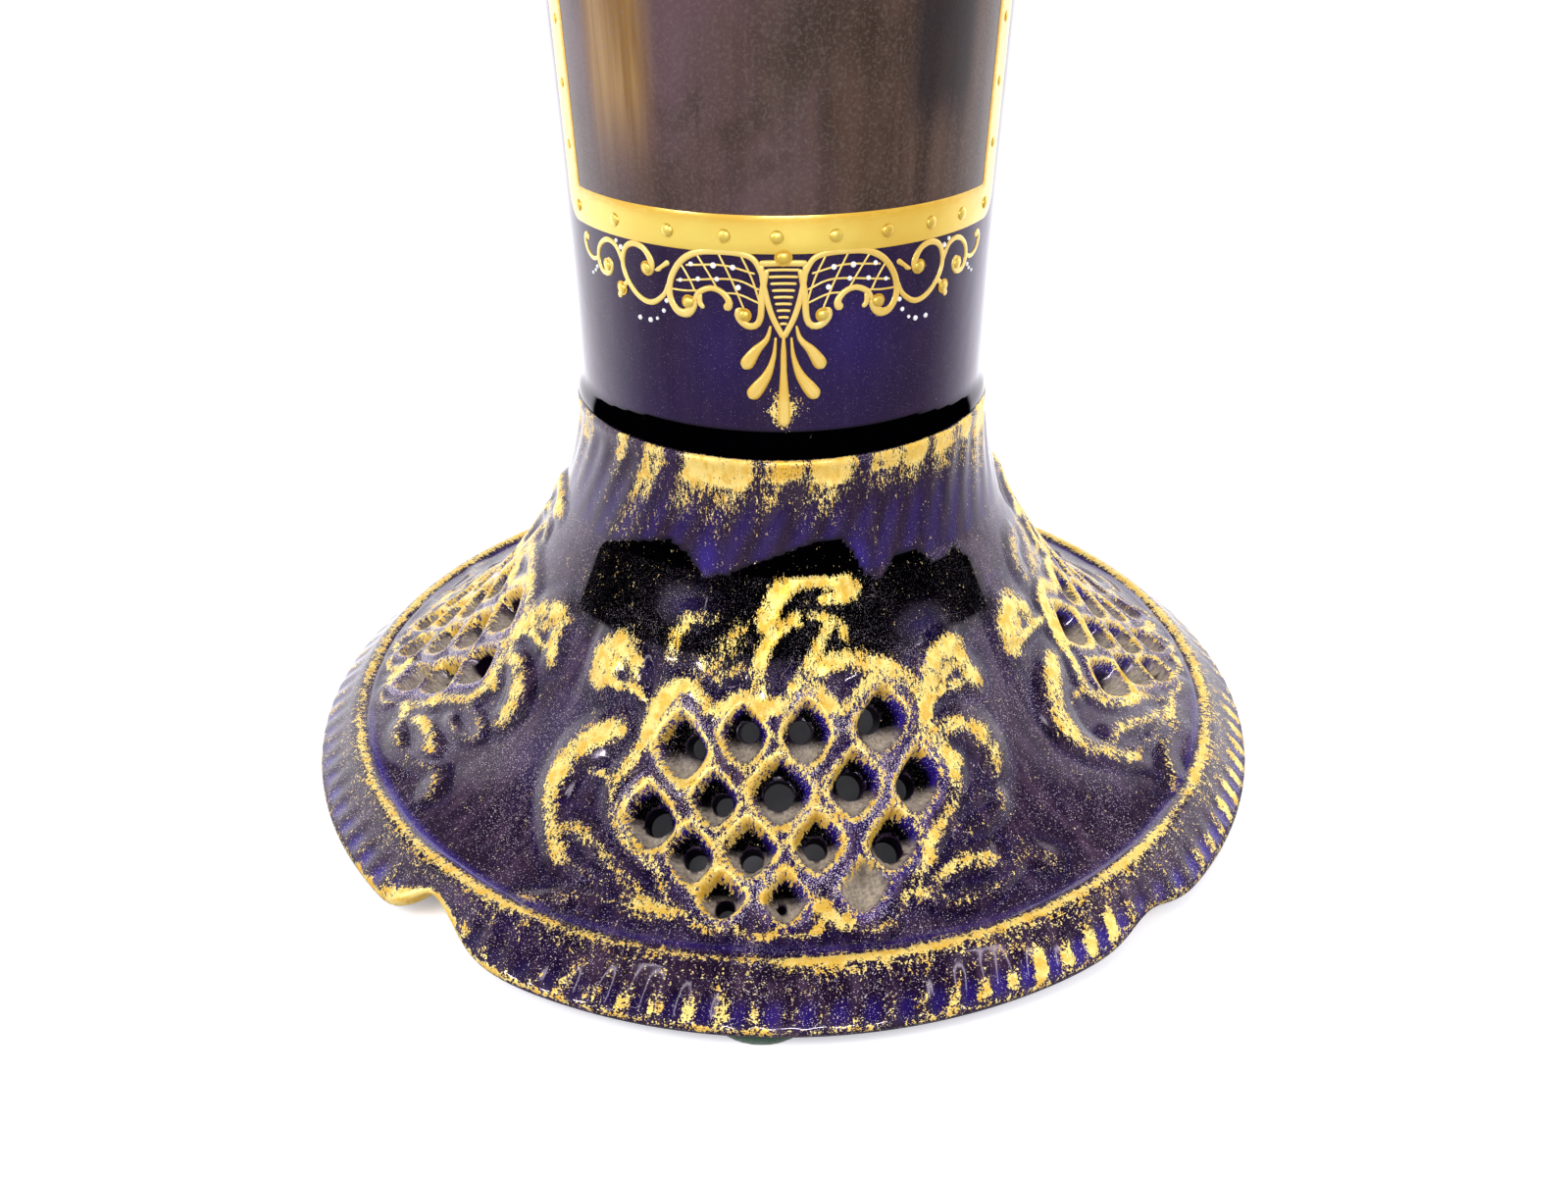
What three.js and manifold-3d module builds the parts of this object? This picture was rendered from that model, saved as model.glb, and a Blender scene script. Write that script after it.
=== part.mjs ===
// A tall cobalt porcelain vase that stands in the collar of a flared, pierced foot.
// Lengths are in millimetres and +Z is up. The origin is on the table, under the vase's centre.
// Azimuth 0 is the front (-Y), and azimuth grows towards the right (+X).

import * as THREE from 'three';
import { mergeVertices } from 'three/addons/utils/BufferGeometryUtils.js';
import Module from 'manifold-3d';

const wasm = await Module();
wasm.setup();

const fullTurn = 2 * Math.PI;
const degree = Math.PI / 180;
const rightAngle = 90 * degree;

// The gap between round pieces that pass through each other
const clearance = 0.3;

// Felt pads
const padRadius = 7.5;
const padThickness = 1.5;
const padInset = 1;
const padTurn = -2.4 * degree;

// Border of the foot: a fluted slope from the rim up to a ridge
const rimRadius = 75.9;
const ridgeRadius = 69.6;
const ridgeHeight = 8.9;
const borderFlutes = 112;
const borderFluteDepth = 0.45;
const footRingInnerRadius = 64.5;
const notchDepth = 5.5;
const notchRise = 3.4;

// Flare of the foot, from inside the ridge up to the collar
const flareRadius = 67.5;
const flareHeight = 8.4;
const flareExponent = 0.655;
const footWall = 5;
const collarRadius = 30.5;
const collarHeight = 58;
const collarFlutes = 48;
const collarFluteDepth = 0.35;
const collarFluteLength = 12;
const lipRadius = 30.8;
const lipThickness = 1.7;

// Deck inside the foot and the bore of the collar above it
const boreRadius = 28.2;
const deckTop = 50;
const deckThickness = 4;
const boltHoleRadius = 4.6;

// Pierced panels, one on each side of the foot
const panels = 4;
const panelHalfWidth = 22;
const panelHeight = 37;
const panelFoot = 2;
const panelSwell = 1.6;
const swellWidthShare = 1.6;
const swellHeightShare = 0.8;
const cellHalfWidth = 3.9;
const cellHalfHeight = 4.5;
const cellDepth = 3.2;
const cellFloorShare = 0.62;
const cellHoleRadius = 2;

// Body
const seatThickness = 1.2;
const bodyWall = 3.4;
const floorThickness = 4;
const waistRadius = 29.8;
const skirtRadius = 30.5;
const skirtGap = 0.2;
const coveHeight = 3;
const shoulderRadius = 34.4;
const shoulderHeight = 238;
const neckRadius = 19.5;
const neckRise = 49;
const mouthRadius = 44;
const mouthRise = 53;
const mouthNotchDepth = 2.4;

// Bolt, nut and washers
const boltRadius = 3.6;
const boltHeadAcross = 13;
const boltHeadHeight = 5;
const boltTail = 3;
const nutHeight = 6.5;
const washerRadius = 12;
const washerThickness = 1.2;
const sealRadius = 14;
const sealThickness = 1;

// Counts of facets
const rimFacets = 2 * borderFlutes;
const ridgeFacets = borderFlutes / 2;
const flareFacets = 48;
const flareSteps = 7;
const collarFacets = 2 * collarFlutes;
const innerFacets = 28;
const innerSteps = 4;
const holeFacets = 12;
const washerFacets = 16;
const cellHoleFacets = 5;
const bodyFacets = 28;

// Porcelain under a deep cobalt glaze, and the small parts of the fixing
const cobaltGlaze = new THREE.MeshStandardMaterial({ color: 0x1b1440, roughness: 0.12 });
const greenFelt = new THREE.MeshStandardMaterial({ color: 0x2f5a41, roughness: 0.95 });
const boltBrass = new THREE.MeshStandardMaterial({ color: 0xb08d45, roughness: 0.35, metalness: 1 });
const washerSteel = new THREE.MeshStandardMaterial({ color: 0x9a9ca0, roughness: 0.4, metalness: 1 });
const sealRubber = new THREE.MeshStandardMaterial({ color: 0x2a2a2a, roughness: 0.8 });

// Heights that follow from the sizes above
const deckUnderside = deckTop - deckThickness;
const bodyBottom = deckTop + seatThickness;
const floorTop = bodyBottom + floorThickness;
const spigotRadius = boreRadius - clearance;
const lipHeight = collarHeight + lipThickness;
const neckHeight = shoulderHeight + neckRise;
const vaseHeight = neckHeight + mouthRise;
const footBase = padThickness;

// A point at an azimuth, a radius and a height
function place(azimuth, radius, height) {
  return new THREE.Vector3(radius * Math.sin(azimuth), -radius * Math.cos(azimuth), height);
}

// A level ring of points, with optional changes of radius and height round the ring
function ring(count, radius, height, pull = () => 0, rise = () => 0) {
  return Array.from({ length: count }, (_, index) => {
    const azimuth = (fullTurn * index) / count;
    return place(azimuth, radius - pull(azimuth), height + rise(azimuth));
  });
}

// The skin between neighbouring rings, which may have different counts of points
function stitch(triangles, lower, lowerCount, upper, upperCount) {
  let i = 0;
  let j = 0;
  while (i < lowerCount || j < upperCount) {
    const lowerPoint = lower + (i % lowerCount);
    const upperPoint = upper + (j % upperCount);
    const stepLower = j >= upperCount || (i < lowerCount && (i + 1) * upperCount <= (j + 1) * lowerCount);
    if (stepLower) {
      i += 1;
      triangles.push(lowerPoint, lower + (i % lowerCount), upperPoint);
    } else {
      j += 1;
      triangles.push(lowerPoint, upper + (j % upperCount), upperPoint);
    }
  }
}

// A closed solid of revolution from a loop of rings: up the outside and down the inside
function solidOfRings(rings) {
  const positions = [];
  const starts = [];
  for (const points of rings) {
    starts.push(positions.length / 3);
    for (const point of points) positions.push(...point.toArray());
  }
  const triangles = [];
  rings.forEach((points, index) => {
    const next = (index + 1) % rings.length;
    stitch(triangles, starts[index], points.length, starts[next], rings[next].length);
  });
  const geometry = new THREE.BufferGeometry();
  geometry.setAttribute('position', new THREE.Float32BufferAttribute(positions, 3));
  geometry.setIndex(triangles);
  return geometry;
}

// The same geometry as a solid for joining and cutting
function toSolid(geometry) {
  const bare = geometry.clone();
  bare.deleteAttribute('normal');
  bare.deleteAttribute('uv');
  const merged = mergeVertices(bare);
  return new wasm.Manifold(new wasm.Mesh({
    numProp: 3,
    vertProperties: new Float32Array(merged.attributes.position.array),
    triVerts: new Uint32Array(merged.index.array),
  }));
}

function fromSolid(solid) {
  const mesh = solid.getMesh();
  const geometry = new THREE.BufferGeometry();
  geometry.setAttribute('position', new THREE.BufferAttribute(mesh.vertProperties, 3));
  geometry.setIndex(new THREE.BufferAttribute(mesh.triVerts, 1));
  return geometry;
}

// Notches between the lobes of the rim: azimuth and how far each side reaches, in degrees, and share of depth
const notchShares = [
  { at: -41.5, before: 2.8, after: 6.5, share: 1 },
  { at: 42, before: 5, after: 4, share: 0.35 },
  { at: 138, before: 5, after: 5, share: 0.7 },
  { at: 222, before: 5, after: 5, share: 0.7 },
];

// How deep the notches bite at an azimuth, from 0 to 1
function notch(azimuth) {
  return notchShares.reduce((sum, { at, before, after, share }) => {
    const fromNotch = THREE.MathUtils.euclideanModulo(azimuth / degree - at + 180, 360) - 180;
    const reach = fromNotch < 0 ? before : after;
    return sum + share * Math.exp(-((fromNotch / reach) ** 2));
  }, 0);
}

// The flare is a hollow curve of the family x^n + y^n = 1, measured along its length
const flareCurve = (() => {
  const samples = 400;
  const points = [];
  let length = 0;
  for (let index = 0; index <= samples; index += 1) {
    const angle = (rightAngle * index) / samples;
    const inward = Math.cos(angle) ** (2 / flareExponent);
    const upward = Math.sin(angle) ** (2 / flareExponent);
    const radius = collarRadius + (flareRadius - collarRadius) * inward;
    const height = flareHeight + (collarHeight - flareHeight) * upward;
    const last = points.at(-1);
    if (last) length += Math.hypot(radius - last.radius, height - last.height);
    points.push({ radius, height, length });
  }
  return points;
})();
const flareLength = flareCurve.at(-1).length;

// Radius, height and outward normal at a climb along the flare
function flareAt(climb) {
  const wanted = THREE.MathUtils.clamp(climb, 0, flareLength);
  let index = flareCurve.findIndex((point) => point.length >= wanted);
  index = Math.max(index, 1);
  const low = flareCurve[index - 1];
  const high = flareCurve[index];
  const share = (wanted - low.length) / (high.length - low.length);
  const run = Math.hypot(high.radius - low.radius, high.height - low.height);
  return {
    radius: THREE.MathUtils.lerp(low.radius, high.radius, share),
    height: THREE.MathUtils.lerp(low.height, high.height, share),
    outward: (high.height - low.height) / run,
    upward: (low.radius - high.radius) / run,
  };
}

// The panels swell gently out of the flare
function swell(azimuth, climb) {
  const side = fullTurn / panels;
  const fromCentre = azimuth - side * Math.round(azimuth / side);
  const across = (fromCentre * flareAt(climb).radius) / (swellWidthShare * panelHalfWidth);
  const along = (climb - panelFoot - panelHeight / 2) / (swellHeightShare * panelHeight);
  const inside = Math.max(0, 1 - across * across) * Math.max(0, 1 - along * along);
  return panelSwell * inside;
}

// The short flutes of the collar, deepest at the lip
function collarFlute(azimuth, climb) {
  const fade = THREE.MathUtils.clamp(1 - (flareLength - climb) / collarFluteLength, 0, 1);
  return collarFluteDepth * fade * Math.cos(collarFlutes * azimuth);
}

// A point on the foot, standing proud of its skin
function onFlare(azimuth, climb, proud = 0) {
  const at = flareAt(climb);
  const lift = proud + swell(azimuth, climb) + collarFlute(azimuth, climb);
  return place(azimuth, at.radius + at.outward * lift, at.height + at.upward * lift);
}

// A point on a panel, by its distance across and its climb
function onPanel(centre, across, climb, proud) {
  return onFlare(centre + across / flareAt(climb).radius, climb, proud);
}

// Rings of the border: share of the way in from the rim, share of the way up, fluted or not
const borderRingShares = [
  { inward: 0.2, upward: 0, fluted: false },
  { inward: 0, upward: 0.27, fluted: true },
  { inward: 0.6, upward: 0.7, fluted: true },
  { inward: 1, upward: 1, fluted: false },
];

function borderRings() {
  return borderRingShares.map(({ inward, upward, fluted }) => {
    const radius = THREE.MathUtils.lerp(rimRadius, ridgeRadius, inward);
    const height = THREE.MathUtils.lerp(footBase, ridgeHeight, upward);
    const low = 1 - upward;
    const pull = (azimuth) => notchDepth * low * notch(azimuth)
      + (fluted ? borderFluteDepth * (1 - Math.cos(borderFlutes * azimuth)) : 0);
    const rise = (azimuth) => notchRise * low * notch(azimuth);
    return ring(fluted ? rimFacets : ridgeFacets, radius, height, pull, rise);
  });
}

function flareRings() {
  const rings = [ring(ridgeFacets, flareRadius, flareHeight)];
  const plainLength = flareLength - collarFluteLength;
  for (let step = 1; step <= flareSteps; step += 1) {
    const climb = (plainLength * step) / flareSteps;
    rings.push(Array.from({ length: flareFacets }, (_, index) =>
      onFlare((fullTurn * index) / flareFacets, climb)));
  }
  const flutedShares = [0.35, 1];
  for (const share of flutedShares) {
    rings.push(Array.from({ length: collarFacets }, (_, index) =>
      onFlare((fullTurn * index) / collarFacets, plainLength + collarFluteLength * share)));
  }
  return rings;
}

function footInsideRings() {
  const lipInner = (lipRadius + boreRadius) / 2;
  const lipFall = lipThickness / 3;
  const rings = [
    ring(collarFacets, lipRadius, lipHeight - 2 * lipFall),
    ring(innerFacets, lipInner, lipHeight),
    ring(innerFacets, boreRadius, lipHeight - lipFall),
    ring(innerFacets, boreRadius, deckTop),
    ring(holeFacets, boltHoleRadius, deckTop),
    ring(holeFacets, boltHoleRadius, deckUnderside),
  ];
  const deckClimb = flareCurve.find((point) => point.height >= deckUnderside).length;
  rings.push(ring(innerFacets, flareAt(deckClimb).radius - footWall, deckUnderside));
  for (let step = 1; step < innerSteps; step += 1) {
    const at = flareAt(deckClimb * (1 - step / innerSteps));
    rings.push(ring(innerFacets, at.radius - at.outward * footWall, at.height - at.upward * footWall));
  }
  rings.push(ring(innerFacets, footRingInnerRadius, footBase));
  return rings;
}

// Cells of the lattice from the bottom up: place across and up the panel, and size of hole, as shares
const cellShares = [
  [-0.37, 0.15, 0.65], [0.01, 0.15, 0.3], [0.48, 0.17, 0],
  [-0.55, 0.29, 0.78], [-0.2, 0.33, 0.78], [0.2, 0.35, 0.78], [0.66, 0.33, 0.93],
  [-0.81, 0.4, 1], [-0.41, 0.5, 0.75], [-0.02, 0.54, 1.05], [0.43, 0.55, 0.98], [0.83, 0.52, 0.93],
  [-0.62, 0.67, 0.8], [-0.23, 0.75, 0.75], [0.14, 0.75, 0.8], [0.6, 0.76, 0.98],
];

// A tapering four-sided pit with a round hole through the wall under it
function cellCutters(centre, across, climb, holeShare) {
  const seat = onPanel(centre, across, climb, 0);
  const up = onPanel(centre, across, climb + cellHalfHeight, 0).sub(seat).normalize();
  const right = onPanel(centre, across + cellHalfWidth, climb, 0).sub(seat).normalize();
  const out = new THREE.Vector3().crossVectors(right, up).normalize();
  const turn = new THREE.Matrix4().makeBasis(right, out, new THREE.Vector3().crossVectors(right, out));
  const pit = new THREE.CylinderGeometry(1 + (1 - cellFloorShare), cellFloorShare, 2 * cellDepth, 4);
  pit.scale(cellHalfWidth, 1, cellHalfHeight);
  pit.applyMatrix4(turn);
  pit.translate(seat.x, seat.y, seat.z);
  const cutters = [toSolid(pit)];
  if (holeShare > 0) {
    const radius = cellHoleRadius * holeShare;
    const hole = new THREE.CylinderGeometry(radius, radius, 3 * footWall, cellHoleFacets);
    hole.applyMatrix4(turn);
    hole.translate(seat.x, seat.y, seat.z);
    cutters.push(toSolid(hole));
  }
  return cutters;
}

// Relief round each lattice: paths as shares of the panel, with a width and a height of ridge
const frameWidth = 1.7;
const scrollWidth = 2.6;
const reliefHeight = 1.5;
const reliefRoot = 1.2;
const reliefShares = [
  { width: frameWidth, path: [[0.05, 0.01], [-0.48, 0.06], [-0.74, 0.19], [-1.03, 0.42], [-0.85, 0.67],
    [-0.6, 0.89], [-0.25, 0.85], [0.17, 0.9], [0.4, 0.98], [0.7, 0.93], [0.88, 0.72], [1.07, 0.48],
    [0.88, 0.27], [0.7, 0.09], [-0.05, 0]] },
  { width: scrollWidth, path: [[-1.05, 0.69], [-1.38, 0.55], [-1.56, 0.35], [-1.45, 0.16]] },
  { width: scrollWidth, path: [[-1.42, 0.26], [-1.15, 0.24], [-0.9, 0.13]] },
  { width: scrollWidth, path: [[0.94, 0.69], [1.28, 0.63], [1.44, 0.46]] },
  { width: scrollWidth, path: [[0.95, 0.15], [1.2, 0.19], [1.38, 0.15]] },
  { width: scrollWidth, path: [[-1.25, 0.83], [-1.15, 0.94], [-0.96, 1]] },
  { width: scrollWidth, path: [[0.93, 0.84], [1.05, 0.96], [1.32, 0.82]] },
  { width: frameWidth, path: [[-0.11, 0.9], [-0.12, 1.05], [0.06, 1.17]] },
  { width: frameWidth, path: [[0.03, 0.92], [0.17, 1.03], [0.28, 1.16]] },
  { width: scrollWidth, path: [[-0.1, 1.16], [0, 1.3], [0.2, 1.33], [0.43, 1.26]] },
];

// A ridge of moulded relief that lies along its path and dies away at both ends
function reliefSolid(centre, { width, path }) {
  const points = path.map(([across, climb]) =>
    new THREE.Vector2(across * panelHalfWidth, panelFoot + climb * panelHeight));
  const curve = new THREE.SplineCurve(points);
  const steps = points.length - 1;
  const rings = [];
  for (let step = 0; step <= steps; step += 1) {
    const share = step / steps;
    const at = curve.getPoint(share);
    const along = curve.getTangent(share);
    const fullness = Math.max(0.25, Math.sin(Math.PI * share) ** 0.35);
    const half = (width / 2) * fullness;
    rings.push([
      onPanel(centre, at.x - along.y * half, at.y + along.x * half, -reliefRoot / 3),
      onPanel(centre, at.x, at.y, reliefHeight * fullness),
      onPanel(centre, at.x + along.y * half, at.y - along.x * half, -reliefRoot / 3),
      onPanel(centre, at.x, at.y, -reliefRoot),
    ]);
  }
  return tubeOfSections(rings);
}

// A closed tube through a row of four-cornered sections
function tubeOfSections(sections) {
  const positions = [];
  const triangles = [];
  const corners = sections[0].length;
  for (const section of sections) {
    for (const point of section) positions.push(...point.toArray());
  }
  for (let index = 1; index < sections.length; index += 1) {
    stitch(triangles, (index - 1) * corners, corners, index * corners, corners);
  }
  const last = (sections.length - 1) * corners;
  triangles.push(0, 2, 1, 0, 3, 2);
  triangles.push(last, last + 1, last + 2, last, last + 2, last + 3);
  const geometry = new THREE.BufferGeometry();
  geometry.setAttribute('position', new THREE.Float32BufferAttribute(positions, 3));
  geometry.setIndex(triangles);
  return geometry;
}

function footGeometry() {
  let solid = toSolid(solidOfRings([...borderRings(), ...flareRings(), ...footInsideRings()]));
  for (let side = 0; side < panels; side += 1) {
    const centre = (fullTurn * side) / panels;
    for (const relief of reliefShares) solid = solid.add(toSolid(reliefSolid(centre, relief)));
    for (const [across, up, holeShare] of cellShares) {
      const climb = panelFoot + up * panelHeight;
      for (const cutter of cellCutters(centre, across * panelHalfWidth, climb, holeShare)) {
        solid = solid.subtract(cutter);
      }
    }
  }
  return fromSolid(solid);
}

// Points along a cubic curve, without its first point
function bend(start, pullStart, pullEnd, end, steps) {
  const curve = new THREE.CubicBezierCurve(start, pullStart, pullEnd, end);
  return curve.getPoints(steps).slice(1);
}

// The body's outline from its bottom edge to its mouth, whose outer edge lies a wall below the top
function bodyOutline() {
  const bottom = new THREE.Vector2(spigotRadius, bodyBottom);
  const skirtHeight = lipHeight + skirtGap;
  const skirtInner = new THREE.Vector2(spigotRadius, skirtHeight);
  const skirt = new THREE.Vector2(skirtRadius, skirtHeight);
  const waist = new THREE.Vector2(waistRadius, lipHeight + coveHeight);
  const shoulder = new THREE.Vector2(shoulderRadius, shoulderHeight);
  const neck = new THREE.Vector2(neckRadius, neckHeight);
  const mouth = new THREE.Vector2(mouthRadius, vaseHeight - bodyWall);
  const tube = shoulderHeight - waist.y;
  const flare = mouth.y - neckHeight;
  const flareWidth = mouthRadius - neckRadius;
  return [
    bottom,
    skirtInner,
    skirt,
    ...bend(skirt, new THREE.Vector2(waistRadius, skirtHeight + coveHeight / 3),
      new THREE.Vector2(waistRadius, waist.y - coveHeight / 3), waist, 2),
    ...bend(waist, new THREE.Vector2(waistRadius, waist.y + tube / 4),
      new THREE.Vector2(shoulderRadius, shoulderHeight - tube / 3), shoulder, 4),
    ...bend(shoulder, new THREE.Vector2(shoulderRadius, shoulderHeight + neckRise / 2),
      new THREE.Vector2(neckRadius, neckHeight - neckRise / 2), neck, 6),
    ...bend(neck, new THREE.Vector2(neckRadius, neckHeight + flare / 2),
      new THREE.Vector2(mouthRadius - flareWidth / 2, mouth.y - flare / 6), mouth, 5),
  ];
}

// The outline moved inwards by the wall
function insideOf(outline, wall) {
  return outline.map((point, index) => {
    const before = outline[Math.max(index - 1, 0)];
    const after = outline[Math.min(index + 1, outline.length - 1)];
    const along = after.clone().sub(before).normalize();
    return new THREE.Vector2(point.x - along.y * wall, point.y + along.x * wall);
  });
}

function bodyGeometry() {
  const outline = bodyOutline();
  const firstInside = 5; // the first outline point that the inside follows, above the cove
  const inside = insideOf(outline, bodyWall).slice(firstInside).reverse();
  const mouth = outline.at(-1);
  const lip = mouth.clone().lerp(inside[0], 0.5);
  const run = mouth.clone().sub(outline.at(-2)).normalize();
  lip.addScaledVector(run, bodyWall / 3);
  const pull = (height) => (azimuth) => {
    const share = THREE.MathUtils.clamp((height - neckHeight) / mouthRise, 0, 1);
    return mouthNotchDepth * share ** 3 * notch(azimuth);
  };
  const round = ({ x, y }) => ring(bodyFacets, x, y, pull(y));
  const innerRadius = spigotRadius - bodyWall;
  return solidOfRings([
    ...outline.map(round),
    round(lip),
    ...inside.map(round),
    ring(bodyFacets, innerRadius, lipHeight),
    ring(bodyFacets, innerRadius, floorTop),
    ring(holeFacets, boltHoleRadius, floorTop),
    ring(holeFacets, boltHoleRadius, bodyBottom),
  ]);
}

// A flat ring, as a washer or a seal, from its underside up
function washerGeometry(innerRadius, outerRadius, base, thickness) {
  const top = base + thickness;
  return solidOfRings([
    ring(washerFacets, outerRadius, base),
    ring(washerFacets, outerRadius, top),
    ring(holeFacets, innerRadius, top),
    ring(holeFacets, innerRadius, base),
  ]);
}

// A hexagonal prism from its underside up
function hexagon(across, base, height) {
  const radius = across / 2 / Math.cos(30 * degree);
  const prism = new THREE.CylinderGeometry(radius, radius, height, 6);
  prism.rotateX(rightAngle);
  prism.translate(0, 0, base + height / 2);
  return prism;
}

const headBase = floorTop + sealThickness + washerThickness;
const nutTop = deckUnderside - sealThickness - washerThickness;
const passRadius = boltRadius + clearance;

function boltGeometry() {
  const shankFoot = nutTop - nutHeight - boltTail;
  const shankTop = headBase + boltHeadHeight / 2;
  const shank = new THREE.CylinderGeometry(boltRadius, boltRadius, shankTop - shankFoot, holeFacets);
  shank.rotateX(rightAngle);
  shank.translate(0, 0, (shankTop + shankFoot) / 2);
  const head = hexagon(boltHeadAcross, headBase, boltHeadHeight);
  return fromSolid(toSolid(head).add(toSolid(shank)));
}

function nutGeometry() {
  const base = nutTop - nutHeight;
  const bore = nutBore(base, nutHeight);
  return fromSolid(toSolid(hexagon(boltHeadAcross, base, nutHeight)).subtract(bore));
}

// The nut's hole, cut with an overrun of one seal's thickness at each end
function nutBore(base, height) {
  const bore = new THREE.CylinderGeometry(passRadius, passRadius, height + 2 * sealThickness, holeFacets);
  bore.rotateX(rightAngle);
  bore.translate(0, 0, base + height / 2);
  return toSolid(bore);
}

function padGeometry() {
  const pad = new THREE.CylinderGeometry(padRadius, padRadius, padThickness, washerFacets);
  pad.rotateX(rightAngle);
  pad.translate(0, 0, padThickness / 2);
  return pad;
}

const vase = new THREE.Group();

function addPiece(name, geometry, material) {
  const piece = new THREE.Mesh(geometry, material);
  piece.name = name;
  vase.add(piece);
  return piece;
}

addPiece('foot', footGeometry(), cobaltGlaze);
addPiece('body', bodyGeometry(), cobaltGlaze);
addPiece('seat_gasket', washerGeometry(boreRadius / 2, spigotRadius, deckTop, seatThickness), sealRubber);
addPiece('tie_bolt', boltGeometry(), boltBrass);
addPiece('head_seal', washerGeometry(passRadius, sealRadius, floorTop, sealThickness), sealRubber);
addPiece('head_washer',
  washerGeometry(passRadius, washerRadius, floorTop + sealThickness, washerThickness), washerSteel);
addPiece('nut_seal',
  washerGeometry(passRadius, sealRadius, deckUnderside - sealThickness, sealThickness), sealRubber);
addPiece('nut_washer', washerGeometry(passRadius, washerRadius, nutTop, washerThickness), washerSteel);
addPiece('bolt_nut', nutGeometry(), boltBrass);

const padSides = ['front', 'right', 'back', 'left'];
padSides.forEach((side, index) => {
  const pad = addPiece(`felt_pad_${side}`, padGeometry(), greenFelt);
  const azimuth = padTurn + (fullTurn * index) / padSides.length;
  const centre = place(azimuth, rimRadius - padInset - padRadius, 0);
  pad.position.copy(centre);
});

export default vase;
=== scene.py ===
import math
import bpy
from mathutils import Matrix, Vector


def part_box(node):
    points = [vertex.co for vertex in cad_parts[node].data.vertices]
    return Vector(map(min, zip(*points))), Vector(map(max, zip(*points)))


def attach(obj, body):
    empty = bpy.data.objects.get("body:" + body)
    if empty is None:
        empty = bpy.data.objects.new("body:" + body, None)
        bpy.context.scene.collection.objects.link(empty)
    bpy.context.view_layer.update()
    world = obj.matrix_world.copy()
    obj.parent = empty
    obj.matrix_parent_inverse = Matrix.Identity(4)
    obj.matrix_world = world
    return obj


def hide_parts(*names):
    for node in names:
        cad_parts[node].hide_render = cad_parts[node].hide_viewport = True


bl_info = {
    "name": "Gilded Porcelain Vase",
    "version": (1, 0, 0),
    "blender": (4, 5, 0),
    "location": "View3D > Sidebar > Vase",
    "description": "Dresses a cobalt vase with a pierced foot in glaze, relief and gilding",
    "category": "Add Mesh",
}

import bpy
import numpy as np
from mathutils import Vector

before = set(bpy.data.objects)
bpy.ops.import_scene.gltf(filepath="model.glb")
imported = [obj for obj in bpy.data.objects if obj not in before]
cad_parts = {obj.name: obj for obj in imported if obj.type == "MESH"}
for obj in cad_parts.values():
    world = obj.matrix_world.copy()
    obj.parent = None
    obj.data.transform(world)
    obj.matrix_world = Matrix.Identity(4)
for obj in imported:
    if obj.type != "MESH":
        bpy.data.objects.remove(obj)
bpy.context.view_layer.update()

MM = 0.001
PHOTO_WIDTH = 1599

# Seeds of the random draws: the foot's glaze, its ribs' share of gold, the body's gold and the pads' fray
FOOT_SEED = 11
RIB_SEED = 31
BODY_SEED = 5
PAD_SEED = 3


def length(name, description, default_mm):
    """A size property in metres whose default is given in millimetres."""
    return bpy.props.FloatProperty(
        name=name, description=description, default=default_mm * MM, unit="LENGTH", precision=5
    )


def angle(name, description, default):
    """An angle property in radians."""
    return bpy.props.FloatProperty(name=name, description=description, default=default, subtype="ANGLE")


def number(name, description, default):
    """A property that is a plain number."""
    return bpy.props.FloatProperty(name=name, description=description, default=default)


def whole_number(name, description, default):
    """A property that counts something."""
    return bpy.props.IntProperty(name=name, description=description, default=default)


def colour(name, description, default):
    """A linear colour property."""
    return bpy.props.FloatVectorProperty(
        name=name, description=description, default=default, subtype="COLOR", size=3, min=0.0, max=1.0
    )


class FootSettings(bpy.types.PropertyGroup):
    rim_radius: length("Rim radius", "Radius of the fluted rim", 75.9)
    rim_rise: length("Rim rise", "Height of the rim's widest line above the foot's underside", 2.0)
    base: length("Base height", "Height of the foot's underside above the table", 1.5)
    ridge_radius: length("Ridge radius", "Radius of the gilt ridge inside the border", 69.6)
    ridge_height: length("Ridge height", "Height of the gilt ridge", 8.9)
    flare_radius: length("Flare radius", "Radius where the flare begins", 67.5)
    flare_height: length("Flare height", "Height where the flare begins", 8.4)
    collar_radius: length("Collar radius", "Radius of the collar", 30.5)
    collar_height: length("Collar height", "Height of the collar under its lip", 58.0)
    lip_radius: length("Lip radius", "Radius of the collar's lip", 30.6)
    lip_thickness: length("Lip thickness", "Height of the lip above the collar", 1.7)
    bore_radius: length("Bore radius", "Radius of the collar's bore", 28.2)
    deck_top: length("Deck height", "Height of the deck that the body stands on", 50.0)
    deck_thickness: length("Deck thickness", "Thickness of the deck", 4.0)
    bolt_hole: length("Bolt hole", "Radius of the hole in the deck", 4.6)
    wall: length("Wall", "Thickness of the foot's wall", 5.0)
    ring_radius: length("Foot ring", "Inner radius of the foot's standing ring", 64.5)
    exponent: number("Flare exponent", "How hollow the flare is, below 1 for a hollow curve", 0.655)
    flutes: whole_number("Border flutes", "Flutes round the border", 112)
    collar_flutes: whole_number("Collar flutes", "Flutes round the collar", 48)
    notch_depth: length("Notch depth", "How far the deepest notch between the lobes bites in", 5.5)
    notch_rise: length("Notch rise", "How far the rim lifts at a notch", 3.4)


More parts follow.
